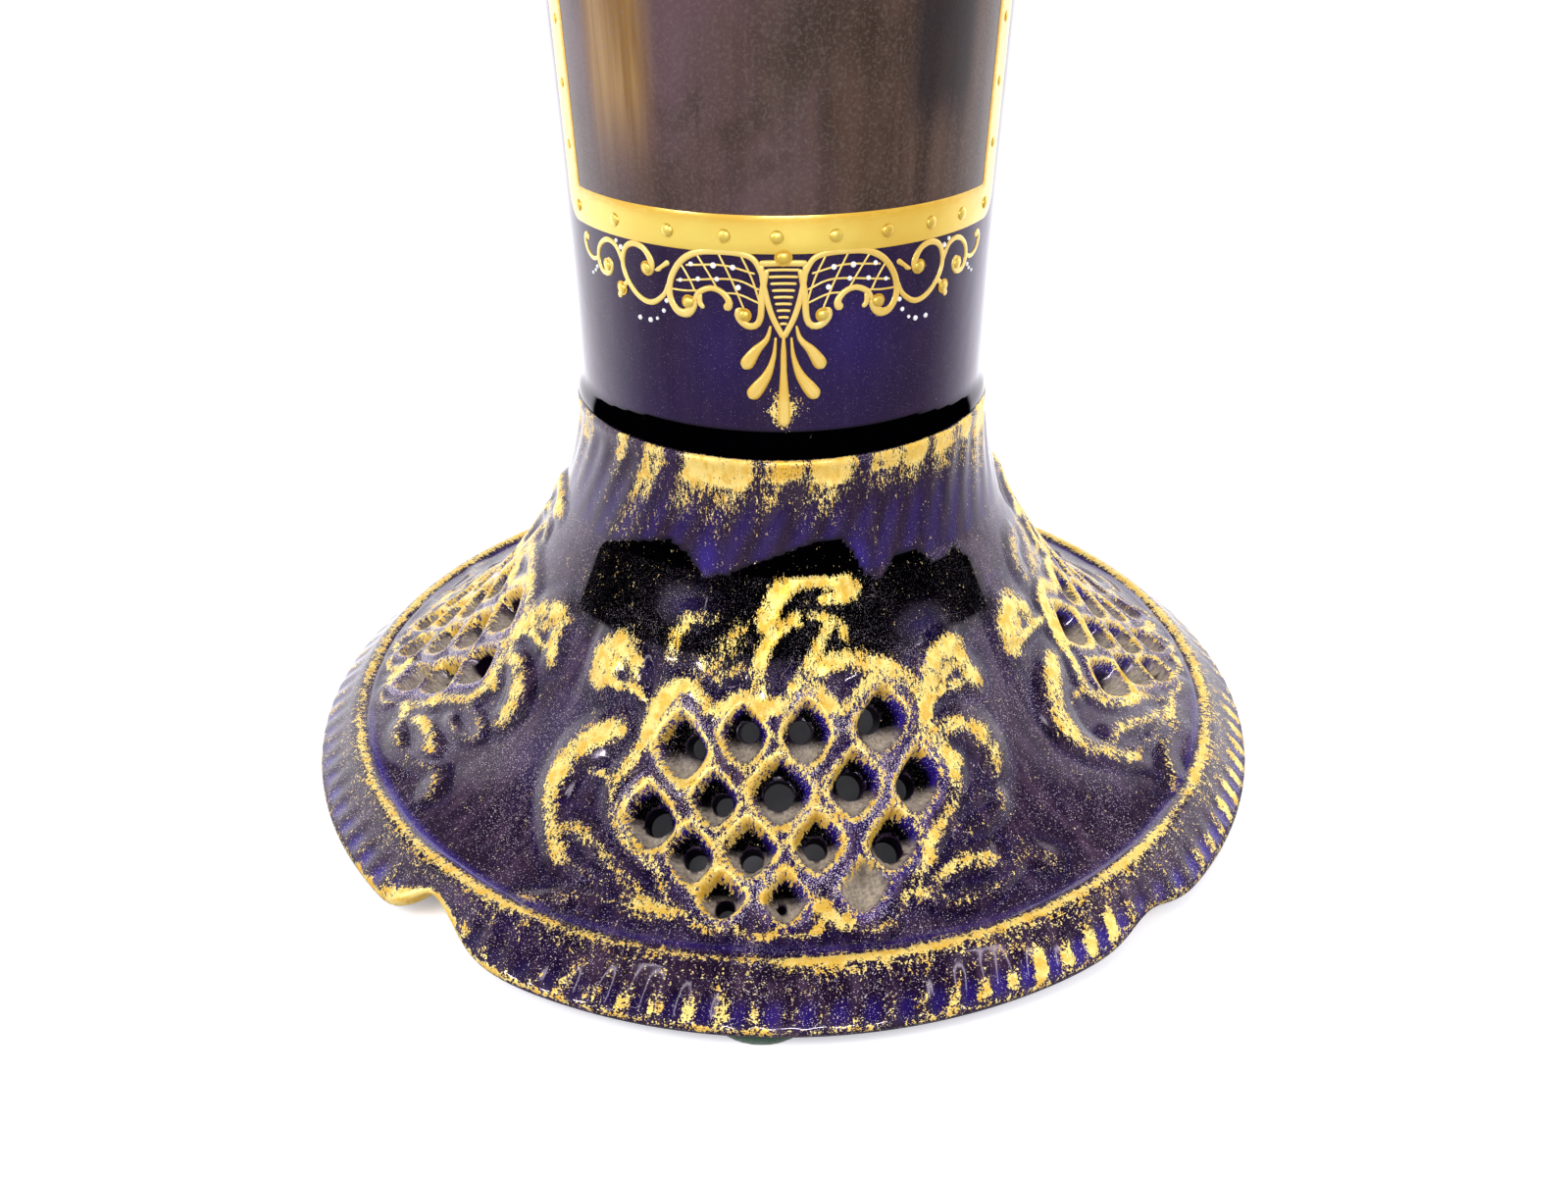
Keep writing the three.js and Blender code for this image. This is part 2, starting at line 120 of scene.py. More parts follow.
class PanelSettings(bpy.types.PropertyGroup):
    half_width: length("Half width", "Half the width of a pierced panel", 22.0)
    height: length("Height", "Height of a pierced panel along the flare", 37.0)
    start: length("Start", "Climb at which a panel begins", 2.0)
    swell: length("Swell", "How far a panel swells out of the flare", 1.6)
    cell_depth: length("Cell depth", "Depth of a lattice cell", 3.2)


class BodySettings(bpy.types.PropertyGroup):
    spigot_radius: length("Spigot radius", "Radius of the body inside the collar", 27.9)
    bottom: length("Bottom", "Height of the body's bottom edge", 51.2)
    wall: length("Wall", "Thickness of the body's wall", 3.4)
    floor: length("Floor", "Thickness of the body's floor", 4.0)
    skirt_radius: length("Skirt radius", "Radius where the body meets the collar's lip", 30.3)
    waist_radius: length("Waist radius", "Radius just above the skirt", 29.5)
    cove: length("Cove", "Height of the hollow skirt above the collar", 3.8)
    shoulder_radius: length("Shoulder radius", "Largest radius of the tube", 34.4)
    shoulder_height: length("Shoulder height", "Height of the shoulder", 238.0)
    neck_radius: length("Neck radius", "Radius of the neck", 19.5)
    neck_rise: length("Neck rise", "Height from the shoulder to the neck", 49.0)
    mouth_radius: length("Mouth radius", "Radius of the mouth", 44.0)
    mouth_rise: length("Mouth rise", "Height from the neck to the mouth", 53.0)
    mouth_notch: length("Mouth notch", "Depth of the notches of the mouth", 2.4)


class GiltSettings(bpy.types.PropertyGroup):
    band_low: length("Band foot", "Height of the frame band's lower edge", 86.9)
    band_high: length("Band top", "Height of the frame band's upper edge", 226.0)
    band_width: length("Band width", "Width of the frame band", 4.7)
    band_reach: angle("Band reach", "Azimuth of the frame's outer edge", math.radians(68.5))
    bead_radius: length("Bead radius", "Radius of a raised gilt bead", 0.85)
    dot_radius: length("Dot radius", "Radius of a white enamel dot", 0.31)


class GlazeSettings(bpy.types.PropertyGroup):
    cobalt_deep: colour("Deep cobalt", "Glaze where it lies thin and dark", (0.012, 0.004, 0.019))
    cobalt_pool: colour("Pooled cobalt", "Glaze where it pools", (0.028, 0.012, 0.27))
    gold_bright: colour("Bright gold", "Burnished gilding", (1.0, 0.75, 0.22))
    gold_deep: colour("Deep gold", "Gilding where it lies thick", (0.8, 0.45, 0.028))
    gold_frame: colour("Frame gold", "Burnished gilding of the frame", (0.93, 0.69, 0.12))
    gold_flash: colour("Pale gold", "Fine bright flecks of the gilding", (1.0, 0.92, 0.55))
    haze: colour("Haze", "Thin mauve veil on the dark glaze", (0.062, 0.032, 0.066))
    dust: colour("Dust", "Dust in the bottom of the lattice cells", (0.55, 0.47, 0.37))
    mist: colour("Mist", "Fine pale specks in the glaze", (0.7, 0.6, 0.74))
    bisque: colour("Bisque", "Unglazed porcelain inside the foot", (0.62, 0.6, 0.62))


def slope_unit(points):
    """Unit tangents of a polyline."""
    tangent = np.gradient(points, axis=0)
    return tangent / np.linalg.norm(tangent, axis=1, keepdims=True)


def smooth_path(points, per_span):
    """A Catmull-Rom curve through given points."""
    points = np.asarray(points, float)
    ends = np.vstack([2 * points[0] - points[1], points, 2 * points[-1] - points[-2]])
    t = np.linspace(0, 1, per_span, endpoint=False)[:, None]
    spans = []
    for before, start, end, after in zip(ends, ends[1:], ends[2:], ends[3:]):
        square = 2 * before - 5 * start + 4 * end - after
        cube = 3 * start - before - 3 * end + after
        spans.append(0.5 * (2 * start + (end - before) * t + square * t**2 + cube * t**3))
    return np.vstack([*spans, points[-1]])


def smoothstep(low, high, value):
    """0 below the low value, 1 above the high one and a smooth rise between them."""
    share = np.clip((value - low) / (high - low), 0, 1)
    return share * share * (3 - 2 * share)


def bell(value, middle, width):
    """1 at the middle value, falling smoothly to 0 on either side."""
    return np.exp(-(((value - middle) / width) ** 2))


def circle(count):
    """Angles of evenly spaced points round a circle."""
    return np.linspace(0, 2 * math.pi, count, endpoint=False)


def degrees_from(azimuth, at):
    """Degrees round the vase from a place to an azimuth, between -180 and 180."""
    return np.mod(np.degrees(azimuth) - at + 180, 360) - 180


def degrees_from_middle(azimuth):
    """Degrees from the nearer of the front's and the back's middle."""
    return np.mod(np.degrees(azimuth) + 90, 180) - 90


def bezier(start, first, second, end, steps):
    """A cubic curve between two points, without its first point."""
    t = np.linspace(0, 1, steps + 1)[1:, None]
    start, first, second, end = np.array((start, first, second, end), float)
    return (1 - t) ** 3 * start + 3 * t * (1 - t) ** 2 * first + 3 * t**2 * (1 - t) * second + t**3 * end


def place(azimuth, radius, height):
    """Points at an azimuth (0 is the front), a radius and a height."""
    along = (radius * np.sin(azimuth), -radius * np.cos(azimuth), height)
    return np.stack(np.broadcast_arrays(*along), axis=-1)


# Notches between the lobes of the rim: azimuth, reach before and after it in degrees, share of the depth
NOTCHES = ((-41.5, 2.8, 6.5, 1.0), (42.0, 5.0, 4.0, 0.35), (138.0, 5.0, 5.0, 0.7), (222.0, 5.0, 5.0, 0.7))


def notch(azimuth):
    """How deep the notches between the lobes bite, from 0 to 1."""
    total = np.zeros(np.shape(azimuth))
    for at, before, after, share in NOTCHES:
        gap = degrees_from(azimuth, at)
        total += share * bell(gap, 0, np.where(gap < 0, before, after))
    return total


def notch_nearness(azimuth, reach):
    """1 at a deep notch, less at a shallow one, falling to 0 at a reach in degrees on either side."""
    near = np.zeros(np.shape(azimuth))
    for at, _, _, share in NOTCHES:
        gap = np.abs(degrees_from(azimuth, at))
        near = np.maximum(near, min(1.0, 1.2 * share) * (1 - smoothstep(0.4 * reach, reach, gap)))
    return near


def stitch(lower, lower_turn, upper, upper_turn):
    """Triangles between two closed rings with their own azimuths, both rising from the same start."""
    faces = []
    i = j = 0
    lower_count, upper_count = len(lower_turn), len(upper_turn)
    lower_turn = np.append(lower_turn, lower_turn[0] + 2 * math.pi)
    upper_turn = np.append(upper_turn, upper_turn[0] + 2 * math.pi)
    while i < lower_count or j < upper_count:
        lower_point = lower + i % lower_count
        upper_point = upper + j % upper_count
        if j >= upper_count or (i < lower_count and lower_turn[i + 1] <= upper_turn[j + 1]):
            i += 1
            faces.append((lower_point, lower + i % lower_count, upper_point))
        else:
            j += 1
            faces.append((lower_point, upper + j % upper_count, upper_point))
    return faces


def ring_solid(rings, turns):
    """Points and faces of a closed shell from a loop of rings, up the outside and down the inside."""
    starts = np.cumsum([0] + [len(ring) for ring in rings])
    faces = []
    for index, turn in enumerate(turns):
        following = (index + 1) % len(rings)
        if turn is turns[following]:
            i = np.arange(len(turn))
            k = (i + 1) % len(turn)
            low, high = starts[index], starts[following]
            faces.extend(np.stack([low + i, low + k, high + k, high + i], axis=1).tolist())
        else:
            faces.extend(stitch(starts[index], turn, starts[following], turns[following]))
    return np.vstack(rings), faces


def band_faces(rows, count, wrap=False):
    """Quads between closed rows of count points, and from the last row to the first when wrapped."""
    faces = []
    for row in range(rows if wrap else rows - 1):
        low, high = row * count, (row + 1) % rows * count
        for i in range(count):
            k = (i + 1) % count
            faces.append([low + i, low + k, high + k, high + i])
    return faces


def turned_over(faces):
    """The same quads seen from the other side."""
    return [[a, d, c, b] for a, b, c, d in faces]


def mesh_object(name, points, faces, material=None, sharp=None, smooth=True):
    """Puts a mesh in the scene; edges sharper than an angle in degrees break its smooth shading."""
    mesh = bpy.data.meshes.new(name)
    mesh.from_pydata(np.asarray(points).tolist(), [], faces)
    mesh.polygons.foreach_set("use_smooth", [smooth] * len(mesh.polygons))
    mesh.update()
    if material is not None:
        mesh.materials.append(material)
    if sharp is not None:
        mesh.set_sharp_from_angle(angle=math.radians(sharp))
    piece = bpy.data.objects.new(name, mesh)
    bpy.context.scene.collection.objects.link(piece)
    return piece


def add_number(piece, name, values):
    """Stores one number a point on a mesh."""
    attribute = piece.data.attributes.new(name, "FLOAT", "POINT")
    attribute.data.foreach_set("value", np.asarray(values, np.float32))


def add_vector(piece, name, values):
    """Stores one vector a point on a mesh."""
    attribute = piece.data.attributes.new(name, "FLOAT_VECTOR", "POINT")
    attribute.data.foreach_set("vector", np.asarray(values, np.float32).ravel())


def distance_to_path(u, v, path):
    """Distance from each (u, v) to a polyline, and the share of the way along it."""
    best = np.full(u.shape, np.inf)
    along = np.zeros(u.shape)
    spans = np.linalg.norm(np.diff(path, axis=0), axis=1)
    reached = np.concatenate([[0], np.cumsum(spans)])
    for index, span in enumerate(spans):
        start = path[index]
        direction = (path[index + 1] - start) / max(span, 1e-12)
        t = np.clip((u - start[0]) * direction[0] + (v - start[1]) * direction[1], 0, span)
        gap = np.hypot(u - start[0] - direction[0] * t, v - start[1] - direction[1] * t)
        closer = gap < best
        best = np.where(closer, gap, best)
        along = np.where(closer, (reached[index] + t) / reached[-1], along)
    return best, along


class Flare:
    """The hollow flare of the foot, measured along its length from inside the ridge."""

    SAMPLES = 1200

    def __init__(self, foot):
        sweep = np.linspace(0, math.pi / 2, self.SAMPLES)
        inward = np.cos(sweep) ** (2 / foot.exponent)
        upward = np.sin(sweep) ** (2 / foot.exponent)
        self.radius = foot.collar_radius + (foot.flare_radius - foot.collar_radius) * inward
        self.height = foot.flare_height + (foot.collar_height - foot.flare_height) * upward
        steps = np.hypot(np.diff(self.radius), np.diff(self.height))
        self.climb = np.concatenate([[0], np.cumsum(steps)])
        self.length = self.climb[-1]

    def at(self, climb):
        radius = np.interp(climb, self.climb, self.radius)
        height = np.interp(climb, self.climb, self.height)
        nudge = 0.2 * MM
        low = np.clip(climb - nudge, 0, self.length)
        high = np.clip(climb + nudge, 0, self.length)
        run = np.interp(high, self.climb, self.radius) - np.interp(low, self.climb, self.radius)
        rise = np.interp(high, self.climb, self.height) - np.interp(low, self.climb, self.height)
        norm = np.hypot(run, rise)
        return radius, height, rise / norm, -run / norm

    def place(self, azimuth, climb, lift):
        radius, height, outward, upward = self.at(climb)
        return place(azimuth, radius + outward * lift, height + upward * lift)


# Lattice cells in millimetres: across, climb, half width, reach up and down, hole's across, climb, radius
CELLS = (
    (-8.1, 7.4, 3.2, 3.4, 3.3, -7.7, 6.6, 1.3),
    (0.2, 7.4, 2.8, 3.7, 3.6, -0.2, 6.9, 0.6),
    (10.5, 8.4, 3.1, 3.9, 3.6, 10.5, 8.0, 0.0),
    (-12.2, 12.6, 3.2, 4.0, 4.1, -12.0, 12.6, 1.55),
    (-4.4, 14.1, 3.5, 4.1, 3.9, -4.2, 13.2, 1.55),
    (4.4, 15.0, 3.2, 4.2, 4.1, 4.4, 14.6, 1.55),
    (14.6, 14.2, 3.6, 4.4, 4.2, 14.6, 13.5, 1.85),
    (-17.9, 16.6, 3.8, 4.4, 4.3, -17.6, 16.5, 2.0),
    (-9.0, 20.5, 3.1, 3.8, 3.7, -8.3, 20.1, 1.5),
    (-0.4, 22.0, 4.1, 4.7, 4.6, -0.6, 21.7, 2.1),
    (9.4, 22.5, 3.5, 4.6, 4.5, 9.4, 22.4, 1.95),
    (18.3, 21.4, 3.4, 4.5, 4.4, 16.9, 21.2, 1.85),
    (-13.6, 26.9, 3.7, 4.7, 4.5, -12.1, 27.3, 1.6),
    (-5.1, 29.7, 3.0, 3.9, 4.1, -4.8, 30.0, 1.5),
    (3.1, 29.9, 3.2, 4.5, 4.4, 2.5, 30.1, 1.6),
    (13.2, 30.3, 3.7, 4.8, 4.2, 12.0, 30.8, 1.95),
)

# Moulded relief of one panel: path across and up it in millimetres, half width, height, gilding at its crest
RELIEF = (
    # arches over the lattice
    (((-18.9, 26.8), (-17, 31.4), (-14.4, 34.8), (-12, 35.2), (-9.8, 32.8), (-7.8, 32.8), (-5.4, 34.6),
      (-2.4, 33.2), (-0.4, 33.8)), 1.3, 0.85, 1.05),
    (((0.8, 34.2), (3.8, 35.8), (5.6, 34.4), (7.2, 32.8), (9, 33.6), (11.4, 36), (13.8, 35.8)),
      1.2, 0.75, 0.95),
    (((3.6, 36.6), (5.2, 39), (8.4, 39.6), (12, 38.4), (15.5, 36.4), (18.4, 33.8), (19.8, 30.5),
      (18.8, 27.4)), 1.6, 0.95, 0.85),
    # sides of the lattice
    (((-18.8, 27), (-20.8, 23.6), (-23.6, 19.6), (-23.4, 15.4), (-20.4, 12), (-17.2, 10.2), (-16, 8)),
      1.1, 0.7, 0.75),
    (((19, 27.6), (22, 25), (23.9, 21.2), (23.8, 17.8), (22, 15.4), (19.8, 13), (19.2, 10.4), (17.4, 8)),
      1.3, 0.8, 0.8),
    # scallops under the lattice
    (((-16, 8), (-14.9, 5.4), (-12.8, 4.1), (-10.6, 2.6), (-8.2, 2.2), (-6.4, 3)), 0.9, 0.6, 0.6),
    (((-6.4, 3), (-4.8, 1.9), (-2.6, 1.6), (-0.6, 2.4)), 0.9, 0.55, 0.7),
    (((-0.6, 2.4), (1.4, 1.7), (3.8, 2.2), (5.2, 4.6)), 0.9, 0.55, 0.6),
    (((4.6, 6.2), (6.4, 4.4), (8.6, 3.2)), 1.4, 0.6, 0.85),
    (((8.4, 3.2), (11, 2.0), (13.6, 2.4), (15.2, 4.4)), 0.9, 0.6, 0.45),
    (((15.8, 5.8), (17.2, 6.6), (18.8, 5.8)), 1.2, 0.5, 0.8),
    # wavy moulding from the lattice to the left and to the right
    (((-37, 0.4), (-34, 1.0), (-31.4, 2.2), (-28.2, 3.7), (-24, 4.1), (-20.8, 2.8), (-17.6, 3.2)),
      0.9, 0.55, 0.4),
    (((-20.6, 4.4), (-18, 4.6), (-15, 4.2)), 1.4, 0.45, 0.85),
    # left scroll and the leaf below it
    (((-23.2, 27.4), (-26.6, 25.2), (-30.4, 22.2), (-33, 18.8), (-34.4, 15), (-33.6, 11.4), (-31.8, 8)),
      1.7, 1.2, 0.85),
    (((-27.6, 20.4), (-24.6, 20.2), (-23.2, 17.4)), 0.9, 0.5, 0.6),
    (((-32, 11.6), (-28.6, 12), (-25.4, 10.6), (-22.4, 8.4), (-19.6, 6.6)), 1.5, 0.9, 0.6),
    (((-31.6, 9.2), (-28.4, 7.2), (-24, 6.2), (-20.2, 6.2)), 0.9, 0.7, 0.35),
    # right scroll, its ring and the leaf below it
    (((20.6, 27.6), (24.6, 27.2), (28.2, 25.4), (30.8, 22.4), (31.8, 19.2)), 1.5, 1.1, 0.7),
    (((21.4, 24.6), (23.6, 23.6), (25.2, 22)), 0.9, 0.5, 0.7),
    (((23.4, 15.4), (25.4, 16.6), (28.4, 16.9), (31.4, 15.9), (31.6, 14.2), (28.6, 13.0), (25.4, 12.9),
      (23.6, 14.2)), 0.8, 0.75, 0.4),
    (((20.8, 7.4), (23.2, 8.9), (26.6, 8.9), (29.6, 8)), 1.3, 0.8, 0.75),
    (((18.6, 6.2), (22.2, 4.2), (27, 3.6), (31, 5.2), (34.4, 7), (37.4, 5.8), (40, 4)), 1.0, 0.75, 0.4),
    # leaves at the top corners
    (((-27.6, 32.8), (-26.6, 35.4), (-24.4, 37.8), (-21.8, 39)), 2.0, 1.1, 0.95),
    (((-22.6, 38.4), (-20.6, 36.6), (-21.4, 34.6)), 1.4, 0.8, 0.8),
    (((-25, 34.6), (-23.6, 36.4)), 1.6, 0.5, 0.75),
    (((-27.2, 33.2), (-24, 33), (-20.6, 33), (-18.2, 31.8)), 0.9, 0.7, 0.8),
    (((20.2, 33.2), (20.8, 36), (23.2, 37.8), (25.8, 37)), 1.9, 1.1, 0.95),
    (((25.8, 36.4), (27.4, 33.8), (29.8, 31)), 1.2, 0.8, 0.85),
    (((22.4, 34.2), (24.4, 35.4)), 1.6, 0.5, 0.75),
    (((20.4, 31.8), (23.4, 32.4), (26.4, 32.2)), 0.9, 0.7, 0.8),
    # speckled leaf left of the finial
    (((-15.2, 38.6), (-14.6, 42), (-12.4, 44.6), (-9, 45)), 1.5, 0.6, 0.55),
    (((-11.6, 38), (-9, 39.6), (-6.8, 41.8), (-5.6, 44.2)), 1.9, 0.55, 0.6),
    (((-8.6, 37), (-6.2, 38.2), (-4.4, 38)), 1.3, 0.5, 0.6),
    # finial and its curling crest
    (((-2.4, 34), (-3.2, 38), (-2.4, 41.4), (-0.8, 43.8), (1.6, 45.4)), 1.2, 1.2, 0.85),
    (((0.6, 34.8), (2.2, 37.4), (3.8, 40.2), (5.2, 42.6), (6.2, 44.8)), 1.1, 1.1, 0.8),
    (((-2.2, 44.8), (-1.4, 47.4), (0.3, 49.8), (2.6, 51), (5, 51.2), (7.4, 50.2), (9.4, 48.8)),
      1.5, 1.3, 1.0),
    (((9.4, 48.8), (7.8, 47.8), (5.4, 48.2)), 0.9, 0.8, 0.8),
    (((1.2, 45.8), (4.4, 45.9), (7.6, 44.8), (8.2, 42.6)), 1.0, 0.7, 0.6),
)


# Degrees on either side of a panel's middle that its relief takes up
PANEL_REACH = 41

# Climb in millimetres where the panels end and the collar's flutes begin
COLLAR_START = 51


class PanelSurface:
    """Relief and gilding of one panel of the foot, repeated on its four sides."""

    QUARTERS = 4

    def __init__(self, foot, panel):
        self.foot = foot
        self.panel = panel
        self.flare = Flare(foot)
        dense = np.linspace(-PANEL_REACH, PANEL_REACH, 176)
        between = np.linspace(PANEL_REACH, 90 - PANEL_REACH, 7)[1:-1]
        self.azimuth = np.radians(np.concatenate([dense, between]))
        self.paths = [smooth_path(np.array(path) * MM, 6) for path, *_ in RELIEF]

    def swell(self, across, climb):
        aside = across / (1.6 * self.panel.half_width)
        along = (climb - self.panel.start - self.panel.height / 2) / (0.8 * self.panel.height)
        return self.panel.swell * np.clip(1 - aside**2, 0, None) * np.clip(1 - along**2, 0, None)

    def lattice(self, across, climb):
        """For the nearest pit: how far out a point lies (1 is its edge), its place in it, and its number."""
        nearest = np.full(across.shape, 9.0)
        aside_of = np.zeros(across.shape)
        rise_of = np.zeros(across.shape)
        pit = np.zeros(across.shape, int)
        for index, (u, v, half_width, up, down, *_) in enumerate(CELLS):
            aside = (across / MM - u) / half_width
            rise = (climb / MM - v) / np.where(climb / MM > v, up, down)
            power = np.where(rise > 0, 1.22, 1.45)
            reach = (np.abs(aside) ** power + np.abs(rise) ** power) ** (1 / power)
            closer = reach < nearest
            aside_of = np.where(closer, aside, aside_of)
            rise_of = np.where(closer, rise, rise_of)
            pit = np.where(closer, index, pit)
            nearest = np.minimum(nearest, reach)
        return nearest, aside_of, rise_of, pit

    def dust_levels(self):
        """How far up each pit is filled with dust; a blind one is full."""
        climb, hole = np.array([(cell[1], cell[-1]) for cell in CELLS]).T
        return np.where(hole == 0, 1.2, 0.42 * np.clip((21 - climb) / 12, 0, 1) - 0.2)

    def moulding(self, across, climb, powered):
        """Adds the moulded strokes to the cube of the lift, and finds their gilding, their shade and the
        painted shade beside them.
        """
        gilt = np.zeros(across.shape)
        shade = np.zeros(across.shape)
        beside = np.zeros(across.shape)
        for seed, ((_, half_width, height, strength), path) in enumerate(zip(RELIEF, self.paths)):
            gap, along = distance_to_path(across, climb, path)
            ends = np.clip(np.minimum(along, 1 - along) * 5 + 0.35, 0, 1)
            reach = gap / (half_width * MM)
            waves = along * (9 + 5 * (seed % 3)) + 0.7 * np.sin(11 * along + seed)
            wander = 0.5 + 0.5 * np.sin(seed * 2.4 + waves)
            powered += (0.78 * height * ends * np.clip(1 - (reach / 2.0) ** 2, 0, None) ** 1.3) ** 3
            brushed = strength * (0.54 + 0.2 * ends + 0.34 * wander)
            gilt = np.maximum(gilt, brushed * (1 - smoothstep(0.2, 0.9 + 0.7 * strength, reach)))
            shade = np.maximum(shade, bell(reach, 2.1, 0.4))
            # Painted shade: a dark band a little way out along each stroke.
            beside = np.maximum(beside, bell(reach, 1.9, 0.75) * (0.5 + 0.5 * wander))
        return powered, gilt, shade, beside

    def relief(self, azimuth, climb):
        """Lift of the skin, and what the glaze needs to know, at points of one panel."""
        across = azimuth * self.flare.at(climb)[0]
        nearest, aside, rise, pit = self.lattice(across, climb)
        depth = 1 - smoothstep(0.62, 1.06, nearest)
        within = 1 - smoothstep(1.35, 1.75, nearest)
        bars = bell(nearest, 1.26, 0.2) * within
        powered, gilt, shade, beside = self.moulding(across, climb, (0.4 * within + 0.35 * bars) ** 3)
        lift = self.swell(across, climb) + np.cbrt(powered) * MM - depth * self.panel.cell_depth
        corner = np.clip(0.86 - across / (56 * MM) + (climb - 20 * MM) / (80 * MM), 0.36, 1.1)
        varied = 0.5 + 0.5 * np.sin(pit * 5.1 + 1.3)
        line = bell(nearest, 1.1, 0.11)
        on_bars = within * (corner * (0.43 + 0.46 * line) + 0.12 * varied)
        inside = 1 - smoothstep(0.93, 1.04, nearest)
        upper_left = smoothstep(0.05, 0.55, rise - 0.55 * aside)
        upper_right = smoothstep(-0.05, 0.5, rise + 0.7 * aside)
        lining = inside * smoothstep(0.66, 0.86, nearest) * upper_left * (0.45 + 0.6 * varied)
        gilt = np.where(nearest < 1.35, np.maximum(on_bars, 0.8 * gilt), gilt) * (1 - inside)
        low = smoothstep(-0.05, 0.4, self.dust_levels()[pit] - rise - 0.1 * np.abs(aside))
        dust = inside * low * (1 - 0.5 * smoothstep(0.82, 1.0, nearest))
        blue_lining = 0.95 * inside * smoothstep(0.5, 0.8, nearest) * upper_right * (1 - low)
        # Painted shade: the pits are painted black inside, above their dust.
        black_pit = inside * (1 - dust) * (1 - smoothstep(0.75, 0.95, nearest))
        pool = np.maximum.reduce([blue_lining, 0.16 * shade, 0.6 * bars * (1.1 - corner)])
        numbers = {
            "gilt": np.maximum(gilt, lining),
            "deep": np.clip(0.85 * lining + 0.25 * line * within, 0, 1),
            "pool": np.clip(pool, 0, 1),
            "dust": dust,
            # painted shade in the pits, and beside the strokes away from the lattice
            "night": np.clip(np.maximum(black_pit, 0.72 * beside * (1 - within)), 0, 1),
            # more pale haze and specks on the lattice's bars, a painted sheen there as well as the glaze's
            # specks, and a little more round the strokes
            "soil": 1 + 1.4 * within * (1 - inside) + 0.3 * shade,
        }
        return lift, numbers


def ripple_ring(azimuth, random, waves, low, high):
    """A smooth, repeating wobble round the vase, between 0 and 1."""
    total = np.zeros(azimuth.shape)
    weight = 0.0
    for _ in range(waves):
        count = random.integers(low, high)
        share = random.random() + 0.3
        total += share * np.cos(count * azimuth + random.random() * 2 * math.pi)
        weight += share
    return 0.5 + 0.5 * total / weight


def full_turn(count):
    """Azimuths of evenly spaced columns, starting where the panels' columns start."""
    return np.radians(-PANEL_REACH) + circle(count)


def dabs_at(azimuth, count, lean, random):
    """A crest for each of count ribs, and the random share of gilding of the rib that each azimuth is on."""
    phase = count * azimuth - lean
    share = random.random(count)
    rib = np.mod(np.rint(phase / (2 * math.pi)).astype(int), count)
    return 0.5 + 0.5 * np.cos(phase), share[rib]


def stepped(places):
    """Points from (radius, millimetres out, height, millimetres up)."""
    return [(radius + out * MM, height + up * MM) for radius, out, height, up in places]


def border_path(foot):
    """The border's outline from under the rim over the ridge to the start of the flare."""
    rim, ridge, crest, base = foot.rim_radius, foot.ridge_radius, foot.ridge_height, foot.base
    edge = base + foot.rim_rise
    places = (
        (rim, -1.6, base, 0), (rim, -0.7, base, 0.5), (rim, -0.12, edge, -0.7), (rim, 0, edge, 0),
        (rim, -0.3, edge, 0.75), (rim, -1.3, edge, 1.8), (rim, -2.7, edge, 2.95), (rim, -4.2, edge, 4.05),
        (ridge, 1.0, crest, -0.45), (ridge, 0, crest, 0), (ridge, -0.9, crest, -0.1),
        (foot.flare_radius, 0, foot.flare_height, 0),
    )
    return smooth_path(stepped(places), 2)[:-1]


# Strength of the gilding round the border: azimuth in degrees and strength, on the ribs and on the ridge
RIB_GILT = (
    (-78, 0.3), (-60, 0.2), (-50, 0.2), (-42, 0.8), (-33, 0.95), (-28, 0.5), (-18, 0.45), (-14, 0.95),
    (-5, 0.9), (-1, 0.35), (14, 0.4), (18, 1.0), (36, 1.0), (41, 0.5), (50, 0.5), (56, 0.9), (72, 1.0),
    (90, 0.7), (130, 0.9), (180, 0.6), (225, 0.95), (260, 0.6),
)
RIDGE_GILT = (
    (-60, 0.66), (-47, 0.72), (-30, 0.85), (-20, 0.56), (-3, 0.56), (1, 1.05), (9, 1.05), (14, 0.92),
    (50, 0.95), (54, 0.52), (58, 0.52), (62, 0.95), (76, 0.8), (135, 0.95), (180, 0.7), (225, 0.95),
    (270, 0.66),
)

# Strength of the blue pools: azimuth in degrees and strength, between the ribs and in the ridge's groove
RIB_BLUE = (
    (-80, 0.9), (-50, 0.9), (-38, 0.25), (-12, 0.3), (0, 0.7), (14, 0.5), (24, 0.9), (60, 1.0), (90, 0.6),
    (180, 0.5),
)
GROOVE_BLUE = (
    (-80, 0.3), (-55, 0.8), (-38, 0.7), (-25, 0.25), (5, 0.3), (20, 0.2), (60, 0.35), (90, 0.5), (180, 0.4),
)


def round_table(azimuth, table):
    """Reads a table of (degrees, value) that runs once round the vase."""
    degrees, values = zip(*table)
    return np.interp(np.degrees(azimuth), degrees, values, period=360)


